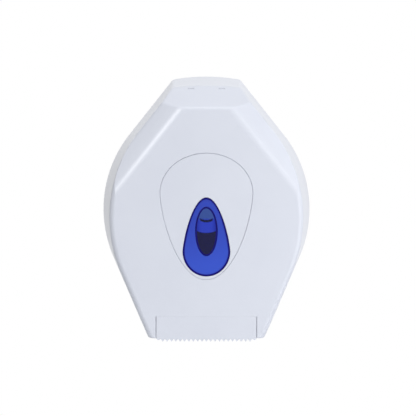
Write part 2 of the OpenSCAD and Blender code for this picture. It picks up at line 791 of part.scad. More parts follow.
// Open guide box behind the top facet, screwed to the front wall's bosses
module lock_housing() {
    rear = pad_rear - slide_gap;
    front = pad_front + slide_gap;
    outer = cheek_x + lock_wall;
    flange_top = boss_z + boss_r + 1;
    color(plate_grey) difference() {
        union() {
            both_sides() {
                block(cheek_x, outer, rear - lock_wall, front + lock_wall, floor_z - lock_wall,
                    lock_top);
                block(cheek_x, outer, front, flange_d, floor_z - lock_wall, flange_top);
                block(pillar_x - 0.5, outer, rear - lock_wall, front + lock_wall, stop_z, lock_top);
                block(cheek_x - 3, outer, rear - lock_wall, rear, floor_z - lock_wall, lock_top);
                bar_post(slot_x, spring_post_d());
            }
            block(-outer, outer, rear - lock_wall, flange_d, floor_z - lock_wall, floor_z);
            block(-outer, outer, front, front + lock_wall, floor_z - lock_wall, bridge_z + 2);
            block(-outer - 2, outer + 2, flange_d - lock_wall, flange_d, floor_z - lock_wall,
                flange_top);
        }
        for (x = [-boss_x, boss_x])
            bar(x, boss_z, flange_d - lock_wall - 1, lock_wall + 2, screw_r + hole_gap);
        for (x = [-boss_x, boss_x])
            bar(x, boss_z, front - 2 * lock_wall, flange_d - lock_wall - front + 2 * lock_wall,
                head_r + 0.4);
        // Windows over the pads for the key's prongs
        for (x = [-slot_x, slot_x])
            block(x - slot_w / 2 - 0.5, x + slot_w / 2 + 0.5, slot_d - slot_t, slot_d + slot_t,
                stop_z - 1, lock_top + 1);
    }
}

function spring_post_d() = (pad_front + pad_rear) / 2;
module bar_post(x, d) {
    translate([x, -d, floor_z - 1]) cylinder(r = spring_r - 2 * spring_wire - 0.4, h = 5);
}

module lock_screws() {
    color(steel) for (x = [-boss_x, boss_x]) screw(x, boss_z, flange_d - lock_wall, screw_len);
}

// Yoke pressed down by the key's two prongs; its tongue hooks behind the arm
module latch_slider() {
    color(hub_blue) difference() {
        union() {
            both_sides() block(pillar_x, slider_x, pad_rear, pad_front, slider_z, pad_top);
            block(-slider_x, slider_x, pad_rear, pad_front, slider_z, bridge_z);
            translate([-arm_w / 2 + 2, 0, 0]) rotate([90, 0, 90]) linear_extrude(arm_w - 4)
                polygon([[-lip_rear + tongue_gap, bridge_z - 1],
                    [-lip_rear + tongue_gap, tongue_z], [-lip_rear + tongue_gap + 1.2, tongue_z],
                    [-pad_rear, bridge_z + 1], [-pad_rear, bridge_z - 1]]);
        }
        both_sides() translate([slot_x, -spring_post_d(), slider_z - 1])
            cylinder(r = spring_r - 2 * spring_wire, h = 4);
    }
}

module latch_spring(x) {
    color(steel) translate([x, -spring_post_d(), floor_z + 0.05]) difference() {
        cylinder(r = spring_r, h = spring_len - 0.1);
        translate([0, 0, -1]) cylinder(r = spring_r - 2 * spring_wire, h = spring_len + 2);
    }
}

module latch_spring_left() {
    latch_spring(-slot_x);
}

module latch_spring_right() {
    latch_spring(slot_x);
}

back_plate();
spindle();
spindle_screws();
friction_washer();
spindle_cap();
cap_screw();
catch_arm();
catch_screws();
hinge_pin_left();
hinge_pin_right();
roll_hub();
cover();
badge_panel();
badge_nuts();
window_lens();
sight_glass();
tear_bar();
tear_bar_screws();
lock_housing();
lock_screws();
latch_slider();
latch_spring_left();
latch_spring_right();
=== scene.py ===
# %% [markdown]
# # A jumbo toilet roll dispenser
# This notebook dresses the moulded dispenser: a white cover on two hinge
# pins, a tinted window, and a blue hub on a grey wall plate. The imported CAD
# model comes in as a fixed frame, and each new piece takes the place of one
# of its nodes. All sizes below are millimetres, and the meshes are metres.

# %% Load the frame
import bpy
import bmesh
from math import acos, atan, cos, hypot, pi, radians, sin, sqrt, tan
from mathutils import Matrix, Vector


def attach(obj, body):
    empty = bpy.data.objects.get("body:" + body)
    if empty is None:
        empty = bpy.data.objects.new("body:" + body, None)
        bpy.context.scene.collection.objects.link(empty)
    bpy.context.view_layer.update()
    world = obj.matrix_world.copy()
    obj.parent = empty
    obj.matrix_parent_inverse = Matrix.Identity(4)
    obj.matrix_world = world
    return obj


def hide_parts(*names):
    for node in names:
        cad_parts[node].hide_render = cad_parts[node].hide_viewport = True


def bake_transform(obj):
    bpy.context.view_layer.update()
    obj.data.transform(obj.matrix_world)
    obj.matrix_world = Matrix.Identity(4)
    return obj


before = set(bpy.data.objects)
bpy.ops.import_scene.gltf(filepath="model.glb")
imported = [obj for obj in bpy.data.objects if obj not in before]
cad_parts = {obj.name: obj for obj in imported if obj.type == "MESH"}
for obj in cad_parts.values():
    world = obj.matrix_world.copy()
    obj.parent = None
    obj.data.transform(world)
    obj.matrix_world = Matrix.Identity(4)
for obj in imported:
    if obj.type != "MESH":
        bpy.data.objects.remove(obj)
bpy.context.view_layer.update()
MM = 0.001
SAME, SLIVER = 1e-7, 2e-6  # metres: points nearer than this are one

# %% [markdown]
# ## Mesh helpers
# Moulded parts are mostly outlines pushed along one axis, turned profiles
# and plain blocks. A loft joins closed rings of points, so one helper makes
# the prisms, the bars and the turned pieces. Depth is measured forward from
# the wall, so a depth of 20 is the plane Y = -20.

# %% Points and lofts
def in_scene(name, data):
    made = bpy.data.objects.new(name, data)
    bpy.context.scene.collection.objects.link(made)
    return made


def new_piece(name, points, faces):
    """An object made of millimetre points (x, depth, z), its faces outward."""
    mesh = bpy.data.meshes.new(name)
    mesh.from_pydata([(x * MM, -d * MM, z * MM) for x, d, z in points], [], faces)
    work = bmesh.new()
    work.from_mesh(mesh)
    bmesh.ops.remove_doubles(work, verts=work.verts, dist=SAME)
    bmesh.ops.recalc_face_normals(work, faces=work.faces)
    work.to_mesh(mesh)
    work.free()
    return in_scene(name, mesh)


def loft(rings, closed=False, name="tool"):
    """Joins rings of equal length; the first and last are capped unless closed."""
    n, last = len(rings[0]), len(rings) - 1
    faces = []
    for k in range(last + closed):
        a, b = k * n, ((k + 1) % (last + 1)) * n
        for i in range(n):
            j = (i + 1) % n
            faces.append((a + i, a + j, b + j, b + i))
    if not closed:
        faces += [tuple(range(n)), tuple(last * n + i for i in range(n))]
    return new_piece(name, [point for ring in rings for point in ring], faces)


def at_depth(loop, depth):
    return [(x, depth, z) for x, z in loop]


def prism(loop, d0, d1):
    return loft([at_depth(loop, d0), at_depth(loop, d1)])


def spin(steps):
    """Cosine and sine at equal steps round a circle."""
    return [(cos(2 * pi * i / steps), sin(2 * pi * i / steps)) for i in range(steps)]


def circle(radius, x=0, z=0, steps=48):
    return [(x + radius * c, z + radius * s) for c, s in spin(steps)]


print("lofts ready")

# %% Bars, blocks and turned pieces
def bar(x, z, d0, d1, radius, steps=48):
    return prism(circle(radius, x, z, steps), d0, d1)


def bars(places, *sizes):
    return [bar(x, z, *sizes) for x, z in places]


def bar_x(x0, x1, depth, z, radius, steps=48):
    """A bar along X; an end may be a function of height, for a slanted cut."""
    def ring(end):
        at = end if callable(end) else (lambda height: end)
        return [(at(h), d, h) for d, h in circle(radius, depth, z, steps)]
    return loft([ring(x0), ring(x1)])


def peg(x, d, z0, z1, radius, steps=32):
    """A round bar along Z."""
    return loft([[(a, b, z) for a, b in circle(radius, x, d, steps)] for z in (z0, z1)])


def block(x0, x1, d0, d1, z0, z1):
    return prism([(x0, z0), (x1, z0), (x1, z1), (x0, z1)], d0, d1)


def side_block(side, x0, x1, *rest):
    """A block between x0 and x1 on the left (-1) or the right (1)."""
    return block(*sorted((side * x0, side * x1)), *rest)


def along_x(profile, x0, x1):
    """A profile of (depth, z) points pushed from x0 to x1."""
    return loft([[(x, d, z) for d, z in profile] for x in (x0, x1)])


def turned(profile, steps=96):
    """A closed profile of (radius, depth) points turned about the axis."""
    return loft([[(r * c, d, r * s) for r, d in profile] for c, s in spin(steps)], closed=True)


print("bars and blocks ready")

# %% [markdown]
# ## Joining, cutting and easing edges
# Bosses, lugs and holes are Boolean steps on closed meshes, as a mould's
# inserts would be. Five pieces then get a small Bevel. Short edges clamp it,
# so only the latch yoke is eased as wide as asked. Weighted Normals keep flat
# faces flat. Each modifier is made plain mesh before a piece is handed over.

# %% Booleans, bevels and smooth shading
def settle(piece):
    """Turns a piece's modifiers into plain mesh."""
    seen = piece.evaluated_get(bpy.context.evaluated_depsgraph_get())
    mesh = bpy.data.meshes.new_from_object(seen)
    piece.modifiers.clear()
    old, piece.data = piece.data, mesh
    bpy.data.meshes.remove(old)
    return piece


def combine(piece, operation, tools):
    for tool in tools:
        step = piece.modifiers.new("step", "BOOLEAN")
        step.operation, step.solver, step.object = operation, "EXACT", tool
        settle(piece)
        bpy.data.objects.remove(tool)
    return piece


def add(piece, *tools):
    return combine(piece, "UNION", tools)


def cut(piece, *tools):
    return combine(piece, "DIFFERENCE", tools)


def ease(piece, width=0.0, segments=2, angle=32):
    """Rounds the sharp edges by up to width and shades the rest smooth."""
    work = bmesh.new()
    work.from_mesh(piece.data)
    bmesh.ops.dissolve_degenerate(work, dist=SLIVER, edges=work.edges)
    bmesh.ops.remove_doubles(work, verts=work.verts, dist=SLIVER)
    work.to_mesh(piece.data)
    work.free()
    if width:
        step = piece.modifiers.new("edge", "BEVEL")
        step.width, step.segments = width * MM, segments
        step.limit_method, step.angle_limit = "ANGLE", radians(angle)
        step.miter_outer = "MITER_ARC"
        settle(piece)
    piece.data.shade_smooth()
    piece.data.set_sharp_from_angle(angle=radians(angle))
    step = piece.modifiers.new("shade", "WEIGHTED_NORMAL")
    step.keep_sharp = True
    step.weight = 80
    return settle(piece)


def hand_over(piece, name, body, nodes, finishes):
    """Names a finished piece, gives it its finish and puts it on its body."""
    piece.name = piece.data.name = name
    if finishes:
        piece.data.materials.clear()
        for finish in finishes:
            piece.data.materials.append(finish)
    if body:
        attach(piece, body)
    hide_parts(*nodes)
    print(name, "faces:", len(piece.data.polygons))


print("joining tools ready")

# %% [markdown]
# ## Writing nodes as sums
# Materials, Geometry Nodes and the sky are all trees of nodes. To keep them
# readable, one small class wraps a socket, so that `1 - mask` or
# `noise * 0.2` adds its own Math node, and a second one adds any other node
# to a tree. A finish is a tree with one shader. Every pattern reads Object
# coordinates, which are the mesh's own metres.

# %% The socket class and the tree class
class Value:
    """A socket's value, ready for sums."""

    def __init__(self, nodes, socket):
        self.nodes, self.socket = nodes, socket

    def math(self, operation, *others):
        return self.nodes.math(operation, self, *others)

    def __add__(self, other): return self.math("ADD", other)
    def __sub__(self, other): return self.math("SUBTRACT", other)
    def __rsub__(self, other): return self.nodes.math("SUBTRACT", other, self)
    def __mul__(self, other): return self.math("MULTIPLY", other)
    def __truediv__(self, other): return self.math("DIVIDE", other)
    __radd__ = __add__


class Nodes:
    """A node tree that is written call by call."""

    def __init__(self, tree):
        self.tree = tree

    def node(self, kind, values=None, out=0, **settings):
        made = self.tree.nodes.new(kind if "Node" in kind else "ShaderNode" + kind)
        for key, value in settings.items():
            setattr(made, key, value)
        for key, value in (values or {}).items():
            self.feed(made.inputs[key], value)
        return Value(self, made.outputs[out])

    def feed(self, socket, value):
        if isinstance(value, Value):
            self.tree.links.new(value.socket, socket)
        else:
            socket.default_value = value

    def math(self, operation, *values):
        return self.node("Math", dict(enumerate(values)), operation=operation)


print("node classes ready")

# %% The finish class
class Finish(Nodes):
    """A material with one Principled shader."""

    def __init__(self, name, **constants):
        self.material = bpy.data.materials.new(name)
        self.material.use_nodes = True
        super().__init__(self.material.node_tree)
        self.shader = self.tree.nodes["Principled BSDF"]
        self.place = self.node("TexCoord", out="Object")
        self.wear(**constants)

    def noise(self, scale, detail=2.0, roughness=0.5, stretch=None):
        """Noise with a feature size given by scale, per metre."""
        place = self.place if not stretch else self.node(
            "Mapping", {"Vector": self.place, "Scale": stretch})
        return self.node("TexNoise", {"Vector": place, "Scale": scale, "Detail": detail,
                                      "Roughness": roughness})

    def blend(self, factor, first, second):
        """A colour between two others."""
        return self.node("Mix", {"Factor": factor, "A": first, "B": second}, "Result",
                         data_type="RGBA")

    def step(self, value, low, high):
        """0 below low, 1 above high, smooth between them."""
        return self.node("MapRange", {"Value": value, "From Min": low, "From Max": high},
                         interpolation_type="SMOOTHSTEP")

    def bump(self, height, distance, strength):
        return self.node("Bump", {"Height": height, "Distance": distance,
                                  "Strength": strength}, "Normal")

    def wear(self, **inputs):
        for socket, value in inputs.items():
            self.feed(self.shader.inputs[socket.replace("_", " ")], value)
        return self.material


def rgb(red, green, blue):
    return (red, green, blue, 1.0)


print("finish class ready")

# %% [markdown]
# ## The mouldings' finishes
# The cover is satin ABS: nearly white with a cool cast, a little mottled
# where the flow cooled, and scuffed by cleaning cloths. The wall plate and
# the lock are a darker, spark-textured grey that hides marks. Bump heights
# are hundredths of a millimetre, so the texture reads only close up.

# %% Satin white, textured grey and satin blue
def across(f):
    """The surface's place across, forward and up, in metres."""
    x = f.node("SeparateXYZ", {"Vector": f.place}, "X")
    y, z = (Value(f, x.socket.node.outputs[name]) for name in "YZ")
    return x, y * -1, z


def satin_white():
    f = Finish("shell white", IOR=1.5)
    cloud = f.noise(14, 3, 0.55)
    flow = f.noise(5, 2, 0.5, (1, 1, 0.35))
    scuff = f.noise(420, 3, 0.6, (1, 1, 0.06))
    grain = f.noise(1500, 2, 0.6)
    orange_peel = f.noise(160)
    tone = f.step(cloud * 0.6 + flow * 0.4, 0.35, 0.65)
    colour = f.blend(tone, rgb(0.698, 0.722, 0.792), rgb(0.720, 0.744, 0.812))
    rough = 0.27 + cloud * 0.05 + f.step(scuff, 0.58, 0.75) * 0.05
    height = orange_peel * 0.7 + grain * 0.12
    return f.wear(Base_Color=colour, Roughness=rough, Normal=f.bump(height, 3e-5, 0.35))


def textured_grey():
    f = Finish("chassis grey", IOR=1.48)
    cloud = f.noise(18, 3)
    spark = f.noise(1700, 4, 0.65)
    pits = f.node("TexVoronoi", {"Vector": f.place, "Scale": 1300.0}, feature="F1")
    rub = f.step(f.noise(60, 4, 0.6), 0.55, 0.75)
    colour = f.blend(cloud, rgb(0.50, 0.52, 0.56), rgb(0.60, 0.62, 0.66))
    rough = 0.5 + spark * 0.12 - rub * 0.1
    height = spark * 0.8 + pits * 0.5
    return f.wear(Base_Color=colour, Roughness=rough, Normal=f.bump(height, 6e-5, 0.6))


def satin_blue():
    f = Finish("hub blue", IOR=1.5)
    x, _, z = across(f)
    radius = (x * x + z * z).math("SQRT")
    rings = f.node("TexNoise", {"W": radius, "Scale": 900.0}, noise_dimensions="1D")
    cloud = f.noise(25, 3)
    colour = f.blend(cloud, rgb(0.016, 0.030, 0.150), rgb(0.030, 0.052, 0.235))
    rough = 0.34 + cloud * 0.1 + rings * 0.08
    height = rings * 0.5 + f.noise(1300) * 0.5
    return f.wear(Base_Color=colour, Roughness=rough, Normal=f.bump(height, 2e-5, 0.5))


WHITE = satin_white()
GREY = textured_grey()
BLUE = satin_blue()
print("plastics:", WHITE.name, GREY.name, BLUE.name)

# %% [markdown]
# ## Tinted window, sight glass, zinc and felt
# The window is a deep blue tint that lets a little of the inside through;
# its colour is painted lighter towards the bottom as painted light, and darker
# near its rim as painted shade. The sight glass is clearer, and its colour is
# painted light and shade: a painted highlight across its top, a painted
# shadow line across its middle, and below the hub's edge painted shade that
# stands for the dark inside. Zinc plating is metal with a cloudy, faintly
# yellow film, and felt is matt black fibre.

# %% Window tint, glass, zinc and felt
# Depths over which the window's painted rim shade fades out, and radii where the sight glass's
# painted shade below the hub begins
EDGE_SHADE_DEPTHS, PAINTED_SHADE_RADII = (0.12757, 0.12768), (0.0277, 0.0290)  # metres, from and to
# Heights of the sight glass's painted highlight, and the place and sag of its painted shadow line
PAINTED_HIGHLIGHT_Z, SHADOW_LINE_Z, SHADOW_LINE_SAG = (-0.0135, -0.0105), 0.0146, 34


def window_tint():
    f = Finish("window blue", IOR=1.5, Specular_IOR_Level=0.25)
    x, forward, z = across(f)
    cloud = f.noise(30)
    # painted light: the window's colour is painted lighter towards the bottom and a little to the
    # right
    glow = f.step(z * -1 + x * 0.2, 0.012, 0.075)
    # painted shade: the colour darkens towards the rim, before the front has risen
    swell = f.step(forward, *EDGE_SHADE_DEPTHS)
    body = f.blend(glow * 0.85 + cloud * 0.15, rgb(0.026, 0.058, 0.47), rgb(0.036, 0.090, 0.61))
    colour = f.blend(swell, rgb(0.012, 0.012, 0.24), body)
    rough = 0.12 + f.step(f.noise(300, 3, 0.6, (1, 1, 0.08)), 0.55, 0.8) * 0.08
    return f.wear(Base_Color=colour, Roughness=rough, Alpha=0.95 + cloud * 0.04,
                  Normal=f.bump(f.noise(90), 4e-5, 0.3))


# The rim finish is painted shade: a dark band round the edge of the lens and of the sight glass.
def window_rim_shade():
    f = Finish("window rim", IOR=1.5, Specular_IOR_Level=0.08)
    colour = f.blend(f.noise(60), rgb(0.006, 0.004, 0.135), rgb(0.010, 0.007, 0.185))
    return f.wear(Base_Color=colour, Roughness=0.25 + f.noise(400) * 0.1)


def sight_tint():
    f = Finish("sight glass", IOR=1.5, Specular_IOR_Level=0.2)
    x, _, z = across(f)
    radius = (x * x + z * z).math("SQRT")
    # painted shade: below the hub's edge the glass is painted dark, standing for the unlit inside
    below = f.step(radius, *PAINTED_SHADE_RADII)
    # painted highlight: the top of the glass is painted lighter
    top = f.step(z, *PAINTED_HIGHLIGHT_Z)
    cloud = f.noise(70)
    # painted shade: the blue is painted darker towards the flanks, lighter in the middle
    painted_flank_shade = f.step(x * x, 1.5e-5, 1.3e-4)
    blue = f.blend(painted_flank_shade, rgb(0.022, 0.048, 0.50), rgb(0.010, 0.026, 0.36))
    middle = f.blend(top, blue, rgb(0.042, 0.092, 0.35))
    # painted shadow line: a soft dark curve painted across the middle of the glass
    off_shadow_line = (z + SHADOW_LINE_Z - x * x * SHADOW_LINE_SAG).math("ABSOLUTE")
    edge = (1 - f.step(off_shadow_line, 0.0006, 0.0023)) * (1 - f.step(x * x, 3.6e-5, 7.6e-5))
    middle = f.blend(edge, middle, rgb(0.002, 0.004, 0.040))
    # the dark colour used below the hub's edge is painted shade
    deep = f.blend(cloud, rgb(0.004, 0.004, 0.045), rgb(0.007, 0.008, 0.062))
    colour = f.blend(below, middle, deep)
    rough = 0.07 + f.step(f.noise(350, 3, 0.6, (1, 1, 0.1)), 0.55, 0.8) * 0.08
    return f.wear(Base_Color=colour, Roughness=rough, Alpha=0.94 - top * 0.1,
                  Normal=f.bump(f.noise(120), 3e-5, 0.3))


def zinc():
    f = Finish("zinc steel", Metallic=1.0)
    cloud = f.noise(220, 4, 0.6)
    lines = f.noise(2600, 2, 0.5, (1, 0.08, 1))
    colour = f.blend(cloud, rgb(0.56, 0.57, 0.59), rgb(0.66, 0.64, 0.58))
    return f.wear(Base_Color=colour, Roughness=0.27 + cloud * 0.14 + lines * 0.06,
                  Normal=f.bump(lines * 0.6 + cloud * 0.4, 2e-5, 0.5))


def black_felt():
    f = Finish("felt")
    fibre = f.noise(2200, 5, 0.75)
    clump = f.noise(300, 3, 0.6)
    colour = f.blend(fibre * 0.7 + clump * 0.3, rgb(0.016, 0.016, 0.018), rgb(0.075, 0.075, 0.08))
    return f.wear(Base_Color=colour, Roughness=0.92 + fibre * 0.06,
                  Normal=f.bump(fibre, 3e-4, 0.8))


TINT, RIM_SHADE_FINISH, GLASS = window_tint(), window_rim_shade(), sight_tint()
ZINC, FELT = zinc(), black_felt()
print("glass, metal and felt ready")

# %% [markdown]
# ## The cover's form
# Seen from the front, the cover is two leaning shoulders, a round arc at each
# side, two jaws that run in to the foot, and a slightly arched roof. Going
# forward it narrows, and near the front the roof turns down into a sloping
# facet and the shoulders turn into narrow facets. One rule gives the outline
# at any depth, so the shell is a loft of outlines and not a carved block.

# %% Sizes and walls of the cover
DEPTH, REAR, FOOT, FOOT_R, WALL, EDGE = 128.0, 1.0, -152.0, 4.0, 2.6, 6.0
LEAN, JAW_LEAN, FALL = radians(38.4), radians(23.3), tan(radians(12.3))
RIDGE_Z, FACET_BACK, RIDGE_S, CHEEK_BACK, CROWN = 118.5, 38.0, 96.4, 10.0, 1.4
ROOF_Z, RIDGE_R, FOLD, ROOF_FOLD = 165.5, 26.0, 4.0, 1.6
SIDE, JAW, SHOULDER = (132.0, 113.5), (133.8, 122.0), (136.5, 117.6)  # wall, front


def mix(a, b, t):
    return a + (b - a) * t


def side_s(d): return mix(*SIDE, d / DEPTH)
def jaw_s(d): return mix(*JAW, d / DEPTH)
def shoulder_s(d): return mix(*SHOULDER, d / DEPTH)
def roof_z(d): return ROOF_Z - d * FALL


FACET = (roof_z(DEPTH - FACET_BACK) - RIDGE_Z) / FACET_BACK
CHEEK = (shoulder_s(DEPTH - CHEEK_BACK) - RIDGE_S) / CHEEK_BACK


def jaw_x(s, z): return (s + z * sin(JAW_LEAN)) / cos(JAW_LEAN)
def shoulder_x(s, z): return (s - z * sin(LEAN)) / cos(LEAN)


print("top facet slope", round(FACET, 3), "shoulder facet slope", round(CHEEK, 3))

# %% Rounded edges, folds and arcs
def front_edge(d, off, slope, radius):
    """A sloped wall's place near the front, with its ridge rounded."""
    face, r = DEPTH - off, max(radius - off, 0.5)
    plane = (DEPTH - d) * slope - off * sqrt(1 + slope * slope)
    back = min(1.0, max(0.0, (face - d) / r))
    turn = pi / 2 - atan(slope)
    angle = acos(1 - back)
    if face - d < r and angle < turn:
        ridge = off * slope - off * sqrt(1 + slope * slope)
        return ridge - r * tan(turn / 2) + r * sin(angle)
    return plane


def soft_min(a, b, blend):
    return min(a, b) - max(blend - abs(a - b), 0) ** 2 / (4 * blend)


def edge_in(d, off):
    """How far the rounded front edge draws the sides in."""
    r = max(EDGE - off, 0.5)
    x = d - (DEPTH - off - r)
    return 0.0 if x <= 0 else r - sqrt(max(0.0, r * r - x * x))


def levels(d, off):
    """Side inset, shoulder distance and roof height at a depth."""
    inset = off + edge_in(d, off)
    part = min(1.0, max(0.0, (DEPTH - d) / CHEEK_BACK))
    cheek = RIDGE_S + front_edge(d, off, CHEEK, RIDGE_R) + CROWN * 4 * part * (1 - part)
    shoulder = soft_min(shoulder_s(d) - inset, cheek, FOLD)
    roof = roof_z(d) - off * sqrt(1 + FALL * FALL)
    top = soft_min(roof, RIDGE_Z + front_edge(d, off, FACET, EDGE), ROOF_FOLD)
    return inset, shoulder, top


def side_arc(w, s, j):
    """Centre and radius of the arc that touches side, shoulder and jaw."""
    a1, b1, e1 = cos(LEAN) - 1, sin(LEAN), s - w
    a2, b2, e2 = cos(JAW_LEAN) - 1, -sin(JAW_LEAN), j - w
    det = a1 * b2 - a2 * b1
    cx = (e1 * b2 - e2 * b1) / det
    return cx, (a1 * e2 - a2 * e1) / det, w - cx


print("side arc at 60 mm:", side_arc(side_s(60), shoulder_s(60), jaw_s(60)))

# %% [markdown]
# ### Corners of the outline
# The corner between shoulder and roof is eased by a quadratic curve between
# two trim points. It keeps the number of points the same at every depth,
# which a loft needs.

# %% The outline at a depth
ARC_STEPS, ROOF_STEPS, CORNER_STEPS, TOE_STEPS = 48, 24, 7, 8
ARCH_REAR, ARCH_FRONT = 3.8, 2.4


def eased(before, corner, after, trim, steps):
    """Points of a curve that cuts a corner, trim long on both sides."""
    def toward(a, b):
        length = hypot(b[0] - a[0], b[1] - a[1])
        t = min(trim / length, 0.45) if length else 0
        return a[0] + (b[0] - a[0]) * t, a[1] + (b[1] - a[1]) * t
    p, q = toward(corner, before), toward(corner, after)
    return [tuple(p[k] * (1 - t) ** 2 + corner[k] * 2 * t * (1 - t) + q[k] * t * t for k in (0, 1))
            for t in (i / steps for i in range(steps + 1))]


def sweep(x, z, radius, start, end, steps):
    """Points of an arc from one angle to another."""
    return [(x + radius * cos(a), z + radius * sin(a))
            for a in (mix(start, end, i / steps) for i in range(steps + 1))]


def ring(d, off=0.0, foot=FOOT, trim=3.0):
    """The whole outline at a depth, set in by off."""
    inset, shoulder, top = levels(d, off)
    full, jaw = shoulder_s(d) - inset, jaw_s(d) - inset
    line = min(full, shoulder)
    cx, cz, r = side_arc(side_s(d) - inset, full, jaw)
    last = LEAN - acos(min(1.0, (line - cx * cos(LEAN) - cz * sin(LEAN)) / r))
    arc = sweep(cx, cz, r, -JAW_LEAN, last, ARC_STEPS)
    behind = DEPTH - FACET_BACK
    rise = (mix(ARCH_REAR, ARCH_FRONT, d / behind) if d < behind
            else ARCH_FRONT * (DEPTH - d) / FACET_BACK)
    half = shoulder_x(line, top)

    def roof(x):
        return x, top + rise * (1 - (x / half) ** 2)

    corner = eased(arc[-1], roof(half), roof(half - 8), trim, CORNER_STEPS)
    end = corner[-1][0]
    middle = [roof(mix(end, -end, i / ROOF_STEPS)) for i in range(1, ROOF_STEPS)]
    toe_z = foot + FOOT_R
    toe = sweep(jaw_x(jaw - FOOT_R, toe_z), toe_z, FOOT_R, -pi / 2, -JAW_LEAN, TOE_STEPS)
    right = toe + arc + corner
    return at_depth(right + middle + [(-x, z) for x, z in reversed(right)], d)


def depths(start, off):
    """Depths at which the skin bends, closer together round each edge."""
    face, r = DEPTH - off, max(EDGE - off, 0.5)
    crease = (RIDGE_Z + DEPTH * FACET - ROOF_Z
              + off * (sqrt(1 + FALL ** 2) - sqrt(1 + FACET ** 2))) / (FACET - FALL)
    fold = DEPTH - CHEEK_BACK - off * 0.6
    found = [start] + [mix(start, crease - 5, i / 4) for i in (1, 2, 3)]
    found += [crease + i for i in (-5, -3.6, -2.4, -1.2, 0, 1.2, 2.4, 3.6, 5)]
    found += [mix(crease + 5, fold - 3, i / 4) for i in (1, 2, 3)]
    found += [fold + i for i in (-2, -1.3, -0.6, 0, 0.6, 1.3, 2)]
    found += [face - r * (1 - cos(radians(a))) for a in range(84, -1, -4)]
    return sorted({round(x, 4) for x in found if x <= face})


print("outline points:", len(ring(60.0)), "depths:", len(depths(REAR, 0)))

# %% [markdown]
# ## Drop shapes and eased mouths
# The badge is an egg and the window a teardrop: both are half widths that
# fall off by a power of the height. A cutter with a flared mouth leaves a
# rounded edge round the hole that it cuts, which is steadier than a Bevel on
# the many small faces that a Boolean leaves.

# %% Egg, teardrop and oval, and flared cutters
def drop(width, top, mid, bottom, up, down, steps=30):
    """A drop's outline, as a function of how far it is set out."""
    def shape(grow):
        def side(reach, power, order):
            found = []
            for i in order:
                u = 1 - (1 - i / steps) ** 2
                found.append(((width + 2 * grow) / 2 * sqrt(max(0.0, 1 - u ** power)),
                              mid + (reach - mid) * u))
            return found
        right = side(bottom - grow, down, range(steps, 0, -1))
        right += side(top + grow, up, range(steps + 1))
        return right + [(-x, z) for x, z in reversed(right[1:-1])]
    return shape


badge_shape = drop(109, 65, 18, -83.3, 2, 1.5)
window_shape = drop(55.6, 12.9, -50, -79.3, 1.3, 2)
sight_shape = drop(25.8, 1.9, -26.7, -55.3, 2, 2)


def round_edge(shape, grow, face, radius, way):
    """Rings of a rounded edge up to the face, opening (1) or closing (-1)."""
    return [at_depth(shape(grow + way * radius * (1 - cos(a))), face - radius + radius * sin(a))
            for a in (radians(18 * i) for i in range(6))]


def cutter(shape, gap, d0, face, mouth):
    """A cutter from d0 out past the face, flared so the hole's mouth is round."""
    return loft([at_depth(shape(gap), d0)] + round_edge(shape, gap, face, mouth, 1)
                + [at_depth(shape(gap + mouth), face + 1)])


def slab(shape, d0, face, edge, grow=0.0, dome=0.0, centre=0.0, band=0.0):
    """A slab with an eased edge and, with dome, a front that swells inside a band."""
    rings = [at_depth(shape(grow), d0)] + round_edge(shape, grow, face, edge, -1)
    if dome:
        rim, half = shape(grow - band), max(x for x, z in shape(grow))
        for left in (1 - i / 10 for i in range(10)):
            swell = dome * (1 - (left * (1 - band / half)) ** 2)
            rings.append([(x * left, face + swell, centre + (z - centre) * left)
                          for x, z in rim])
    return loft(rings)


FACE_IN, BADGE_T, GAP, LAP = DEPTH - WALL, 1.5, 0.25, 0.01
POSTS = [(x, z) for x in (-40.5, 40.5) for z in (38, -22)]
print("badge points:", len(badge_shape(0)))

# %% [markdown]
# ## The cover shell
# The cover is modelled as one moulding 2.6 mm thick. The outer skin minus
# an inner skin gives that wall everywhere. Lugs for the hinge pins, bosses
# for screws and thin ribs are joined inside, and the badge's recess, the
# window, the key slots and the notch for the tear bar are cut last.

# %% Build the cover
SIDES, SUNK = (-1, 1), WALL / 2
HINGE_D, HINGE_Z, HEEL = 13.0, -141.0, 11.5
BAR_W, BAR_TOP, BAR_FLANGE = 117.6, -127.0, 14.0
SLOT_D, SLOT_X = 94.6, 18.5
FLANGE_D, BOSS_X, BOSS_Z, BOSS_R = 113.4, 22.5, 108.975, 4
RIB, RIB_X, RIB_LOW, RIB_HIGH = 0.8, 74.5, -93.3, 85
TAP_R, FREE_R = 1.5, 1.7  # a hole that the screw cuts into, and one it passes
KEY_X = (-SLOT_X, SLOT_X)
BOSSES = [(s * BOSS_X, BOSS_Z) for s in SIDES]
BAR_SCREWS = [(x, BAR_TOP + BAR_FLANGE / 2) for x in (-46.8, 0, 46.8)]


def skin(off, start, foot):
    return loft([ring(d, off, foot) for d in depths(start, off)])


def lug(side):
    """A hinge lug, run out into the middle of the jaw's wall."""
    wall_s = jaw_s(HINGE_D) - SUNK
    return bar_x(side * 67, lambda z: side * jaw_x(wall_s, z), HINGE_D, HINGE_Z, 9)


def rib(x0, x1, z0, z1):
    return block(x0, x1, FACE_IN - 4, FACE_IN + SUNK, z0, z1)


cover = cut(skin(0, REAR, FOOT), skin(WALL, -1, FOOT - 20))
half = min(RIB_X, shoulder_x(RIDGE_S, RIB_HIGH) - 3)
ribs = [rib(-x, x, z - RIB, z + RIB) for x, z in ((RIB_X, RIB_LOW), (half, RIB_HIGH))]
ribs += [rib(s * x - RIB, s * x + RIB, RIB_LOW, 24) for s in SIDES for x in (64.5, RIB_X)]
bosses = bars(BOSSES, FLANGE_D, DEPTH - 1, BOSS_R)
bosses += bars(BAR_SCREWS, FACE_IN - 2.2, FACE_IN + SUNK, BOSS_R)
add(cover, lug(-1), lug(1), *ribs, *bosses)

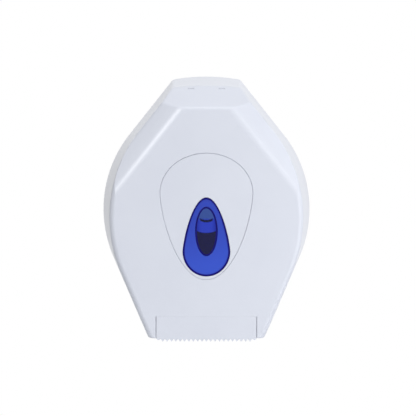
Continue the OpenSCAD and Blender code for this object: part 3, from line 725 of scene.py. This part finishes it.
heel = [(HINGE_D - HEEL * cos(radians(a)), HINGE_Z - HEEL * sin(radians(a)))
        for a in range(0, 91, 5)]
waste = along_x([(-2, HINGE_Z)] + heel + [(HINGE_D, FOOT - 1), (-2, FOOT - 1)], -140, 140)
notch = block(-59.4, 59.4, FACE_IN - 1, DEPTH + 1, FOOT - 1, BAR_TOP + 0.6)
slots = [block(x - 4, x + 4, SLOT_D - 1.2, SLOT_D + 1.2, 132, 170) for x in KEY_X]
bores = bars(POSTS, FACE_IN - 1, DEPTH, 1.8, 24)
bores += bars(BOSSES, FLANGE_D - 1, FLANGE_D + 8, TAP_R, 24)
bores += bars(BAR_SCREWS, FACE_IN - 3.2, FACE_IN + 1.9, TAP_R, 24)
pins = [bar_x(s * 66, s * 79, HINGE_D, HINGE_Z, 2.56, 32) for s in SIDES]
cut(cover, waste, notch, *slots, cutter(badge_shape, GAP, DEPTH - BADGE_T, DEPTH, 0.5),
    cutter(window_shape, GAP, FACE_IN - 1, DEPTH, 0.3), *bores, *pins)
hand_over(ease(cover, angle=34), "cover_shell", "cover", ["cover"], [WHITE])

# %% [markdown]
# ## Badge, window and sight glass
# The badge is a flush inlay held by four posts and push-on nuts; it is left
# plain here. Behind its opening sits the teardrop lens, clamped by a flange,
# and an oval glass sits in that. Lens and glass swell by 0.3 mm, which bends
# the highlights across them. The rim of each is a darker band of painted
# shade, made by giving the outer faces their own finish.

# %% Build the badge, the lens and the glass
badge = slab(badge_shape, DEPTH - BADGE_T, DEPTH, 0.35, grow=-0.2)
add(badge, *bars(POSTS, FACE_IN - 4, DEPTH - BADGE_T / 2, 1.6, 24))
cut(badge, cutter(window_shape, GAP, FACE_IN - 2, DEPTH, 0.45))
hand_over(ease(badge), "badge_panel_flush", "cover", ["badge_panel"], [WHITE])


def banded(piece, shape, band):
    """Gives the outer band of a lens its second finish, the painted rim shade."""
    inner = shape(-band)
    for face in piece.data.polygons:
        x, z = face.center.x / MM, face.center.z / MM
        inside = False
        for (x0, z0), (x1, z1) in zip(inner, inner[1:] + inner[:1]):
            if (z0 > z) != (z1 > z) and x < (x1 - x0) * (z - z0) / (z1 - z0) + x0:
                inside = not inside
        face.material_index = 0 if inside else 1


LENS_FACE, LENS_RIM, GLASS_RIM, SWELL = DEPTH - 0.4, 2.1, 1.7, 0.3
SEAT, FLANGE_REAR = FACE_IN - 2.4, FACE_IN - 4
lens = slab(window_shape, FACE_IN, LENS_FACE, 0.6, dome=SWELL, centre=-42, band=LENS_RIM)
add(lens, slab(window_shape, SEAT, FACE_IN + LAP, 0.2, grow=3))
cut(lens, cutter(sight_shape, GAP, FLANGE_REAR, LENS_FACE + 0.2, 0.35))
hand_over(ease(lens), "window_lens_tinted", "cover", ["window_lens"], [TINT, RIM_SHADE_FINISH])
banded(lens, window_shape, LENS_RIM)

glass = slab(sight_shape, SEAT, LENS_FACE, 0.5, dome=SWELL, centre=-26.7, band=GLASS_RIM)
add(glass, slab(sight_shape, FLANGE_REAR, SEAT + LAP, 0.2, grow=2.4))
hand_over(ease(glass), "sight_glass_oval", "cover", ["sight_glass"], [GLASS, RIM_SHADE_FINISH])
banded(glass, sight_shape, GLASS_RIM)

# %% [markdown]
# ## The tear bar
# Paper tears on a row of small teeth under the front wall. The teeth repeat,
# so Geometry Nodes place them: a Mesh Line gives one point per tooth, and a
# small three-sided prism is put on each. The tree's inputs are the tooth's
# sizes, and it ends in Realize Instances and Set Material, because loose
# instances are lost when the model is exported.

# %% A helper that builds and applies a node tree
class Tree(Nodes):
    """A Geometry Nodes tree with named inputs."""

    def __init__(self, name, **inputs):
        super().__init__(bpy.data.node_groups.new(name, "GeometryNodeTree"))
        face = self.tree.interface
        for way in ("INPUT", "OUTPUT"):
            face.new_socket("Geometry", in_out=way, socket_type="NodeSocketGeometry")
        for label, kind in inputs.items():
            face.new_socket(label, in_out="INPUT", socket_type="NodeSocket" + kind)
        given = self.tree.nodes.new("NodeGroupInput").outputs
        self.given = {socket.name: Value(self, socket) for socket in given}
        self.out = self.tree.nodes.new("NodeGroupOutput")

    def geo(self, kind, *rest, **settings):
        return self.node("GeometryNode" + kind, *rest, **settings)

    def vector(self, x=0.0, y=0.0, z=0.0):
        return self.node("CombineXYZ", {"X": x, "Y": y, "Z": z})

    def close(self, geometry, finish):
        real = self.geo("RealizeInstances", {"Geometry": geometry})
        done = self.geo("SetMaterial", {"Geometry": real, "Material": finish})
        self.feed(self.out.inputs[0], done)
        return self.tree


def grow(tree, values, start=None):
    """Runs a tree with the given inputs and keeps the result as plain mesh."""
    piece = start or in_scene("grown", bpy.data.meshes.new("grown"))
    step = piece.modifiers.new("nodes", "NODES")
    step.node_group = tree
    for item in tree.interface.items_tree:
        if item.in_out == "INPUT" and item.name in values:
            step[item.identifier] = values[item.name]
    return settle(piece)


print("tree helper ready")

# %% Grow the teeth and build the bar
def teeth_tree():
    t = Tree("teeth", Count="Int", Pitch="Float", Height="Float", Thickness="Float",
             Start="Vector")
    g = t.given
    line = t.geo("MeshLine", {"Count": g["Count"], "Start Location": g["Start"],
                              "Offset": t.vector(g["Pitch"])}, mode="OFFSET")
    wedge = t.geo("MeshCylinder", {"Vertices": 3, "Radius": 1.0, "Depth": g["Thickness"]})
    laid = t.geo("Transform", {"Geometry": wedge, "Rotation": (pi / 2, pi / 2, 0.0),
                                  "Translation": (0, 0, -0.5)})
    tooth = t.geo("Transform", {"Geometry": laid, "Scale": t.vector(
        g["Pitch"] * 0.55, 1.0, g["Height"] / 1.5)})
    index = t.geo("InputIndex")
    at_end = index.math("COMPARE", 0.0) + index.math("COMPARE", g["Count"] - 1.0)
    size = t.vector(1.0, 1.0, 1.0 - at_end * 0.5)
    placed = t.geo("InstanceOnPoints", {"Points": line, "Instance": tooth, "Scale": size})
    return t.close(placed, WHITE)


FOOT_EDGE, TOOTH, COUNT, ROOT = FOOT - 1, 3.0, 23, 0.3
PITCH = BAR_W / COUNT
teeth = grow(teeth_tree(), {
    "Count": COUNT, "Pitch": PITCH * MM, "Height": (TOOTH + ROOT) * MM,
    "Thickness": (WALL - 0.2) * MM, "Start": Vector((
        -PITCH * (COUNT - 1) / 2, -(FACE_IN + WALL / 2), FOOT_EDGE + ROOT)) * MM})


def bar_shape(grow):
    x, low, top = BAR_W / 2 - 0.12 + grow, FOOT_EDGE - grow, BAR_TOP + 0.56 + grow
    return [(-x, low), (x, low), (x, top), (-x, top)]


tear = slab(bar_shape, FACE_IN, DEPTH - 0.02, 0.1)
flange = [(-60.6, FOOT), (60.6, FOOT), (63.8, BAR_TOP - 8), (63.8, BAR_TOP + BAR_FLANGE)]
flange += [(-x, z) for x, z in flange[:1:-1]]
add(tear, prism(flange, FACE_IN - 2.2, FACE_IN + LAP), teeth)
cut(tear, *bars(BAR_SCREWS, FACE_IN - 4, FACE_IN + 0.5, 4.2))
hand_over(ease(tear), "tear_bar_serrated", "cover", ["tear_bar"], [WHITE])

# %% [markdown]
# ## Screws and push nuts
# Every small screw is a pan head with a cross recess, so one function makes
# it in each length, and Geometry Nodes set it on its places. A random turn
# with a fixed seed keeps the recesses from all pointing the same way. The
# nuts are spring steel: a thin disc with a raised collar that grips the post.

# %% One screw, and a tree that places it
HEAD_R, SHANK_R, RECESS = 3.2, 1.47, (1.9, 0.32)


def pan_screw(height, length, toward):
    """A screw seated at depth 0; toward is -1 where its head looks at the wall."""
    crown = [(HEAD_R * sin(radians(a)), height * (0.55 + 0.45 * cos(radians(a))))
             for a in range(90, -1, -15)]
    profile = [(0.0, -length), (SHANK_R * 0.6, -length), (SHANK_R, 0.8 - length),
               (SHANK_R, 0.0), (HEAD_R - 0.15, 0.0), (HEAD_R, 0.15)] + crown
    screw = turned([(r, toward * d) for r, d in profile], steps=32)
    for w, h in (RECESS, RECESS[::-1]):
        near, far = sorted((toward * height * 0.35, toward * (height + 1)))
        cut(screw, block(-w, w, near, far, -h, h))
    return ease(screw, angle=35)


def placing_tree():
    t = Tree("placing", Piece="Object", Seed="Int", Turn="Float")
    g = t.given
    shape = t.geo("ObjectInfo", {"Object": g["Piece"]}, "Geometry")
    turn = t.node("FunctionNodeRandomValue", {"Min": 0.0, "Max": g["Turn"], "Seed": g["Seed"]},
                  1, data_type="FLOAT")
    placed = t.geo("InstanceOnPoints", {"Points": g["Geometry"], "Instance": shape,
                                        "Rotation": t.vector(0.0, turn, 0.0)})
    return t.close(placed, ZINC)


PLACING = placing_tree()


def place(piece, places, depth, seed, name, body, node):
    """Sets a copy of piece at each place and hands the group over."""
    spots = new_piece("spots", at_depth(places, depth), [])
    group = grow(PLACING, {"Piece": piece, "Seed": seed, "Turn": pi / 2}, spots)
    bpy.data.objects.remove(piece)
    hand_over(group, name, body, [node], [])


print("placing tree:", len(PLACING.nodes), "nodes")

# %% Set the screws and the nuts
CATCH_X, CATCH_Z, CATCH_D, CAP_D, RING_R = 20.0, 118.975, 12.0, 98.2, 21
CATCHES = [(s * CATCH_X, CATCH_Z) for s in SIDES]
SPINDLE_SCREWS = [(RING_R * cos(radians(a)), RING_R * sin(radians(a))) for a in (90, 210, 330)]
washer = bar(0, 0, -0.05, 0.8, 5.6)
nut = ease(turned([(1.63, -0.6), (4.1, -0.6), (4.4, -0.45), (4.4, 0.0), (4.1, 0.0),
                   (2.6, -0.1), (2.6, 0.8), (1.63, 0.8)], steps=32))
place(pan_screw(2.0, 9.0, -1), BOSSES, FLANGE_D - 2.5, 3,
      "lock_screws_pan", "cover", "lock_screws")
place(add(pan_screw(2.0, 4.5, -1), washer), BAR_SCREWS, FACE_IN - 3.0, 5,
      "bar_screws_pan", "cover", "tear_bar_screws")
place(pan_screw(2.0, 9.0, 1), CATCHES, CATCH_D, 7,
      "arm_screws_pan", "wall_body", "catch_screws")
place(pan_screw(1.4, 7.5, 1), SPINDLE_SCREWS, 21, 9,
      "spindle_screws_low", "wall_body", "spindle_screws")
place(pan_screw(2.0, 16.0, 1), [(0, 0)], CAP_D + 4, 11,
      "cap_screw_pan", "wall_body", "cap_screw")
place(nut, POSTS, FACE_IN - 0.8, 13, "push_nuts", "cover", "badge_nuts")

# %% [markdown]
# ## The wall plate
# The plate is a shallow tray that follows the cover's outline a few
# millimetres inside it. Ribs run out from the spindle's seat like spokes
# and keep it flat. Spokes repeat, so Geometry Nodes place them on a circle
# of points; they are then trimmed to the plate and joined to it.

# %% A tree of spokes
def spokes_tree():
    t = Tree("spokes", Count="Int", Inner="Float", Length="Float", Width="Float",
             Height="Float", Middle="Float")
    g = t.given
    points = t.geo("MeshCircle", {"Vertices": g["Count"],
                                  "Radius": g["Inner"] + g["Length"] * 0.5})
    upright = t.geo("Transform", {"Geometry": points, "Rotation": (pi / 2, 0.0, 0.0),
                                  "Translation": t.vector(0.0, g["Middle"] * -1.0)})
    spoke = t.geo("MeshCube", {"Size": t.vector(g["Length"], g["Height"], g["Width"])})
    angle = t.geo("InputIndex") * (-2 * pi) / g["Count"]
    placed = t.geo("InstanceOnPoints", {"Points": upright, "Instance": spoke,
                                        "Rotation": t.vector(0.0, angle)})
    return t.close(placed, GREY)


SPOKES = spokes_tree()


def spokes(count, **sizes):
    """Spokes round the axis; their sizes and their middle depth in millimetres."""
    return grow(SPOKES, {"Count": count, **{k.title(): v * MM for k, v in sizes.items()}})


print("spokes tree:", len(SPOKES.nodes), "nodes")

# %% Build the wall plate
PLATE_T, RIM_D, RIB_T, PLATE_FOOT, PLATE_OFF = 3.0, 13.0, 2.4, -128.3, 5.2
EAR_IN, EAR_OUT, EAR_R = 55.7, 66.7, 8
FIXINGS = [(x, z) for x in (-70, 70) for z in (-70, 70)]


def plate_loop(grown):
    points = ring(RIM_D, PLATE_OFF - grown, PLATE_FOOT - grown, trim=2.0)
    return [(x, z) for x, _, z in points]


fan = combine(spokes(12, inner=34, length=150, width=RIB_T, height=7.5, middle=5.25),
              "INTERSECT", [prism(plate_loop(-1), 1, 10)])
ring_rib = cut(bar(0, 0, 1.5, 9, 78, 128), bar(0, 0, 1, 10, 75.6, 128))
plate = cut(prism(plate_loop(0), 0, RIM_D), prism(plate_loop(-RIB_T), PLATE_T, RIM_D + 1))
add(plate, fan, ring_rib, turned([(0.0, 0.0), (36, 0), (36, 16.4), (35.4, 17), (0.0, 17)]),
    *bars(FIXINGS, 0, 8, 11), *bars(CATCHES, 0, 9, 7))
for s in SIDES:
    add(plate, bar_x(s * EAR_IN, s * EAR_OUT, HINGE_D, HINGE_Z, EAR_R),
        side_block(s, EAR_IN, EAR_OUT, 0, RIM_D, HINGE_Z, PLATE_FOOT + 4))
cut(plate, bar(0, 0, -1, 13, 32.6, 96), bar(0, 0, 12, 18, 5),
    *bars(FIXINGS, -1, 9, 3), *bars(FIXINGS, 3, 9, 6),
    *bars(SPINDLE_SCREWS, 12, 18, TAP_R, 24), *bars(CATCHES, 2.5, 10, TAP_R, 24),
    *[bar_x(s * 54, s * 68, HINGE_D, HINGE_Z, 2.53, 32) for s in SIDES])
hand_over(ease(plate, 0.35), "wall_plate_ribbed", "wall_body", ["back_plate"], [GREY])

# %% [markdown]
# ## Spindle, felt ring, cap and pins
# These are turned shapes: half a cross-section swept once round an axis.
# The profile holds the small edge radii, so no bevel is needed.

# %% Turn the spindle, the felt ring, the cap and the pins
spindle = turned([(0.0, 14), (4.5, 14), (4.8, 14.3), (4.8, 17), (29.5, 17), (30, 17.5), (30, 20.4),
                  (29.4, 21), (12.8, 21), (12.2, 21.2), (12, 21.8), (12, 97.6), (11.4, 98.2),
                  (1.5, 98.2), (1.5, 85.2), (0.0, 85.2)])
cut(spindle, *bars(SPINDLE_SCREWS, 16, 22, FREE_R, 24))
hand_over(ease(spindle), "spindle_flanged", "wall_body", ["spindle"], [GREY])

felt = turned([(12.1, 21.0), (17.2, 21.0), (17.2, 22.2), (16.8, 22.6), (12.5, 22.6), (12.1, 22.2)])
hand_over(ease(felt, angle=60), "felt_ring", "wall_body", ["friction_washer"], [FELT])

cap = turned([(1.7, 98.2), (18.6, 98.2), (19, 98.6), (19, 99.8), (18.8, 100.4), (17.6, 101.6),
              (16.4, 102.1), (15.0, 102.2), (5.2, 102.2), (4.6, 102.0), (1.7, 102.0)])
hand_over(ease(cap), "spindle_cap_round", "wall_body", ["spindle_cap"], [WHITE])

profile = [(0.0, 53.7), (3.6, 53.7), (4.1, 54.1), (4.1, 55.7), (2.5, 55.7), (2.5, 76.4),
           (1.9, 77), (0.0, 77)]
for side, name in ((-1, "left"), (1, "right")):
    pin = loft([[(side * x, HINGE_D + r * c, HINGE_Z + r * s) for r, x in profile]
                for c, s in spin(48)], closed=True)
    hand_over(ease(pin), "hinge_pin_" + name[0], "wall_body", ["hinge_pin_" + name], [ZINC])

# %% [markdown]
# ## The roll hub
# The roll's card core slides over the blue hub. Its wall is split by slots at
# the front into six fingers that give a little, and six webs tie it to the
# sleeve that turns on the spindle. The spokes tree makes the webs again,
# with other sizes.

# %% Build the hub
hub = turned([(12.06, 22.9), (45.4, 22.9), (46, 23.5), (46, 25.3), (45.4, 25.9), (28.8, 25.9),
              (28.2, 26.1), (28, 26.7), (28, 96.4), (27.6, 97.4), (26.8, 97.9), (26.0, 97.9),
              (25.6, 97.5), (25.6, 25.9), (14.46, 25.9), (14.46, 97.5), (14.06, 97.9),
              (12.46, 97.9), (12.06, 97.5)], steps=120)
add(hub, spokes(6, inner=13.2, length=13.6, width=2.4, height=70.6, middle=60.2))
SIXTHS = [radians(60 * i + 30) for i in range(6)]
gaps = [loft([[(r * cos(a) - w * sin(a), d, r * sin(a) + w * cos(a))
               for r, w in ((24, -1.5), (30, -1.5), (30, 1.5), (24, 1.5))]
              for d in (73.9, 99)]) for a in SIXTHS]
holes = bars([(37 * cos(a), 37 * sin(a)) for a in SIXTHS], 22, 27, 4.5)
cut(hub, *gaps, *holes, turned([(17.2, 22), (24.8, 22), (24.8, 23.5), (17.2, 23.5)]))
hand_over(ease(hub, 0.3), "roll_hub_fingered", "hub", ["roll_hub"], [BLUE])

# %% [markdown]
# ## The catch arm and the lock
# A hooked arm reaches from the wall plate over the roll to the top of the
# cover. A yoke in a guide box there is pushed up by two springs, so that its
# tongue stands behind the arm's lip. A key with two prongs presses the yoke
# down and frees the cover. All of these are plates and ribs: blocks joined,
# cut and then given a small Bevel.

# %% Build the catch arm
ARM_TOP, LIP_Z, LIP_REAR, LIP_FRONT = 130.975, 119.975, 89.1, 92.6
UNDER, HALF = ARM_TOP - 4, 11.0
arm = block(-27, 27, 9, 12, CATCH_Z - 7, ARM_TOP)
add(arm, block(-HALF, HALF, 9.5, LIP_FRONT, UNDER, ARM_TOP),
    block(-HALF + 0.01, HALF - 0.01, LIP_REAR, LIP_FRONT - 0.01, LIP_Z, ARM_TOP - 0.5))
brace = [(9.5, UNDER + 0.5), (9.5, UNDER - 11), (31, UNDER - 5.5), (77, UNDER - 2),
         (80, UNDER + 0.5)]
add(arm, along_x(brace, -HALF + 0.02, -HALF + 2.4), along_x(brace, HALF - 2.4, HALF - 0.02))
cut(arm, *bars(CATCHES, 8, 13, FREE_R, 24))
hand_over(ease(arm, 0.4), "catch_arm_hooked", "wall_body", ["catch_arm"], [GREY])

# %% Build the lock housing
PAD_REAR, PAD_FRONT, FLOOR, TOP, STOP = 84.6, 98.6, 101.975, 133.675, 131.175
BRIDGE, SLIDER_Z, PAD_TOP, TONGUE = 113.975, 109.975, 125.675, 119.375
PLAY, WEB, CHEEK_X, OUTER = 0.35, 2.5, 23.85, 26.35
REAR_D, FRONT_D, MID = PAD_REAR - PLAY, PAD_FRONT + PLAY, (PAD_REAR + PAD_FRONT) / 2
STUB = 0.1  # a stub ends up inside each peg; the bevel's clamped width depends on it
housing = block(-OUTER, OUTER, REAR_D - WEB, FLANGE_D, FLOOR - WEB, FLOOR)
for s in SIDES:
    add(housing, side_block(s, CHEEK_X, OUTER, REAR_D - WEB, FRONT_D + WEB, FLOOR - 1, TOP),
        side_block(s, CHEEK_X, OUTER, FRONT_D, FLANGE_D - 1, FLOOR - 1, BOSS_Z + 5),
        side_block(s, 13, OUTER, REAR_D - WEB, FRONT_D + WEB, STOP, TOP),
        side_block(s, 20.85, OUTER - 1, REAR_D - WEB, REAR_D, FLOOR - 1, TOP - 1),
        block(s * SLOT_X - STUB, s * SLOT_X + STUB, MID - STUB, MID + STUB,
              FLOOR - 1, FLOOR + 0.5))
add(housing, block(-OUTER, OUTER, FRONT_D, FRONT_D + WEB, FLOOR - 1, BRIDGE + 2),
    block(-OUTER - 2, OUTER + 2, FLANGE_D - WEB, FLANGE_D, FLOOR - WEB, BOSS_Z + 5))
cut(housing, *bars(BOSSES, FLANGE_D - 3.5, FLANGE_D + 1, FREE_R, 24),
    *bars(BOSSES, FRONT_D - 5, FLANGE_D - WEB, 3.6, 32),
    *[block(x - 4.5, x + 4.5, SLOT_D - 2.4, SLOT_D + 2.4, STOP - 1, TOP + 1) for x in KEY_X])
add(housing, *[peg(x, MID, FLOOR - 1, FLOOR + 4, 2.2) for x in KEY_X])
hand_over(ease(housing, 0.35), "lock_housing_open", "cover", ["lock_housing"], [GREY])

# %% Build the latch yoke
yoke = block(-23.5, 23.5, PAD_REAR, PAD_FRONT, SLIDER_Z, BRIDGE)
add(yoke, *[side_block(s, 13.5, 23.5, PAD_REAR, PAD_FRONT, SLIDER_Z, PAD_TOP) for s in SIDES])
tongue = [(LIP_REAR - 0.9, BRIDGE - 1), (LIP_REAR - 0.9, TONGUE), (LIP_REAR - 2.1, TONGUE),
          (PAD_REAR, BRIDGE + 1), (PAD_REAR, BRIDGE - 1)]
add(yoke, along_x(tongue, -9, 9))
cut(yoke, *[peg(x, MID, SLIDER_Z - 1, SLIDER_Z + 3, 2.6) for x in KEY_X])
hand_over(ease(yoke, 0.35), "latch_yoke", "latch", ["latch_slider"], [BLUE])

# %% [markdown]
# ## The springs
# A spring follows a rule, so its path is Geometry Nodes' Spiral curve with a
# round wire swept along it.

# %% Wind the springs
def spring_tree():
    t = Tree("spring", Turns="Float", Radius="Float", Height="Float", Wire="Float",
             Foot="Vector")
    g = t.given
    path = t.geo("CurveSpiral", {
        "Resolution": 24, "Rotations": g["Turns"], "Start Radius": g["Radius"],
        "End Radius": g["Radius"], "Height": g["Height"]})
    wire = t.geo("CurvePrimitiveCircle", {"Resolution": 8, "Radius": g["Wire"]})
    swept = t.geo("CurveToMesh", {"Curve": path, "Profile Curve": wire, "Fill Caps": True})
    stood = t.geo("Transform", {"Geometry": swept, "Translation": g["Foot"]})
    return t.close(stood, ZINC)


SPRING, TURNS, COIL_R, WIRE = spring_tree(), 5.5, 3.4, 0.4
low, high = FLOOR + 0.05, SLIDER_Z - 0.05
for side, name in ((-1, "left"), (1, "right")):
    foot = Vector((side * SLOT_X, -MID, low + WIRE + 0.1)) * MM
    spring = grow(SPRING, {"Turns": TURNS, "Radius": (COIL_R - WIRE) * MM, "Wire": WIRE * MM,
                           "Height": (high - low - 2 * WIRE - 0.2) * MM, "Foot": foot})
    spring.data.shade_smooth()
    hand_over(spring, "spring_" + name, None, ["latch_spring_" + name], [])
    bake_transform(spring)

# %% [markdown]
# ## Light and ground
# A white moulding on a white ground shows its form only by small steps of
# tone. A sky that is brighter to the right and above gives every flat face
# its own tone, and long narrow lamps leave a bright line along each shoulder
# ridge. A lamp close to the right cheek lets the front fall off to the left.
# The ground is pure white where it is seen, and the floor keeps the shadow.

# %% Camera and lamps
camera_data = bpy.data.cameras.new("camera")
camera_data.lens, camera_data.sensor_width = 101.3, 36.0
camera = in_scene("camera", camera_data)
camera.location = (0.0019, -1.5, 0.0008)
camera.rotation_euler = (radians(90), 0, 0)
bpy.context.scene.camera = camera


def softbox(name, target, toward, distance, along, size, glow):
    """A lamp seen from target in a direction, with its long side along a line."""
    data = bpy.data.lights.new(name, "AREA")
    data.shape, data.size, data.size_y = "RECTANGLE", size[0], size[1]
    data.energy = glow * pi * size[0] * size[1]
    back = Vector(toward).normalized()
    side = Vector(along).cross(back).normalized()
    lamp = in_scene(name, data)
    lamp.location = Vector(target) + back * distance
    lamp.rotation_euler = Matrix((side, back.cross(side), back)).transposed().to_euler()


softbox("right", (0.09, -0.123, 0.07), (0.39, -0.86, 0.33), 2.2, (-0.62, 0, 0.78),
        (0.26, 1.3), 5.2)
softbox("left", (-0.08, -0.123, 0.06), (-0.335, -0.887, 0.318), 2.5, (0.62, 0, 0.78),
        (0.3, 0.6), 26.0)
softbox("top", (0, -0.1, 0.1), (0, -0.5, 0.86), 1.9, (1, 0, 0), (0.5, 1.2), 5.2)
softbox("side", (0.06, -0.128, -0.01), (0.87, -0.48, -0.05), 0.36, (0, 0, 1), (0.16, 0.4), 1.6)
softbox("front", (0, -0.1, 0), (0.5, -0.8, -0.3), 2.2, (0, 0, 1), (1.2, 1.2), 0.45)
behind = in_scene("behind", bpy.data.lights.new("behind", "SUN"))
behind.data.energy, behind.data.angle = 1.2, radians(50)
behind.rotation_euler, behind.visible_glossy = (radians(-80), 0, 0), False
print("lamps:", len(bpy.data.lights))

# %% Sky and floor
world = bpy.data.worlds.new("studio")
bpy.context.scene.world = world
world.use_nodes = True
sky = Nodes(world.node_tree)
BRIGHT_SIDE, SLOPE, LEVEL = (0.9, -0.1, 0.42), 0.33, 0.41
soft, end = (sky.tree.nodes[name] for name in ("Background", "World Output"))
toward = sky.node("VectorMath", {0: sky.node("TexCoord", out="Generated"), 1: BRIGHT_SIDE},
                  "Value", operation="DOT_PRODUCT")
sky.feed(soft.inputs["Color"], rgb(0.93, 0.95, 1.0))
sky.feed(soft.inputs["Strength"], toward.math("MULTIPLY_ADD", SLOPE, LEVEL))
seen = sky.node("LightPath", out="Is Camera Ray")
rays = seen.socket.node.outputs
for ray in ("Is Glossy Ray", "Is Transmission Ray"):
    seen = seen.math("MAXIMUM", Value(sky, rays[ray]))
white = sky.node("Background", {"Color": rgb(1, 1, 1), "Strength": 1.0})
sky.feed(end.inputs["Surface"],
         sky.node("MixShader", {0: seen, 1: Value(sky, soft.outputs[0]), 2: white}))

FLOOR_R, FLOOR_T, FLOOR_DROP = 520, 6, 0.36
floor = loft([at_depth(circle(FLOOR_R, steps=64), d) for d in (0, FLOOR_T)], name="floor")
for vertex in floor.data.vertices:
    x, y, z = vertex.co
    vertex.co = (x, z, y - FLOOR_DROP)
floor.data.flip_normals()
paper = Finish("floor", Roughness=0.9)
floor.data.materials.append(paper.wear(
    Base_Color=paper.blend(paper.noise(6), rgb(0.86, 0.865, 0.875), rgb(0.90, 0.905, 0.915))))
bpy.context.scene.view_settings.view_transform = "Standard"
print("sky nodes:", len(sky.tree.nodes), "floor ready")
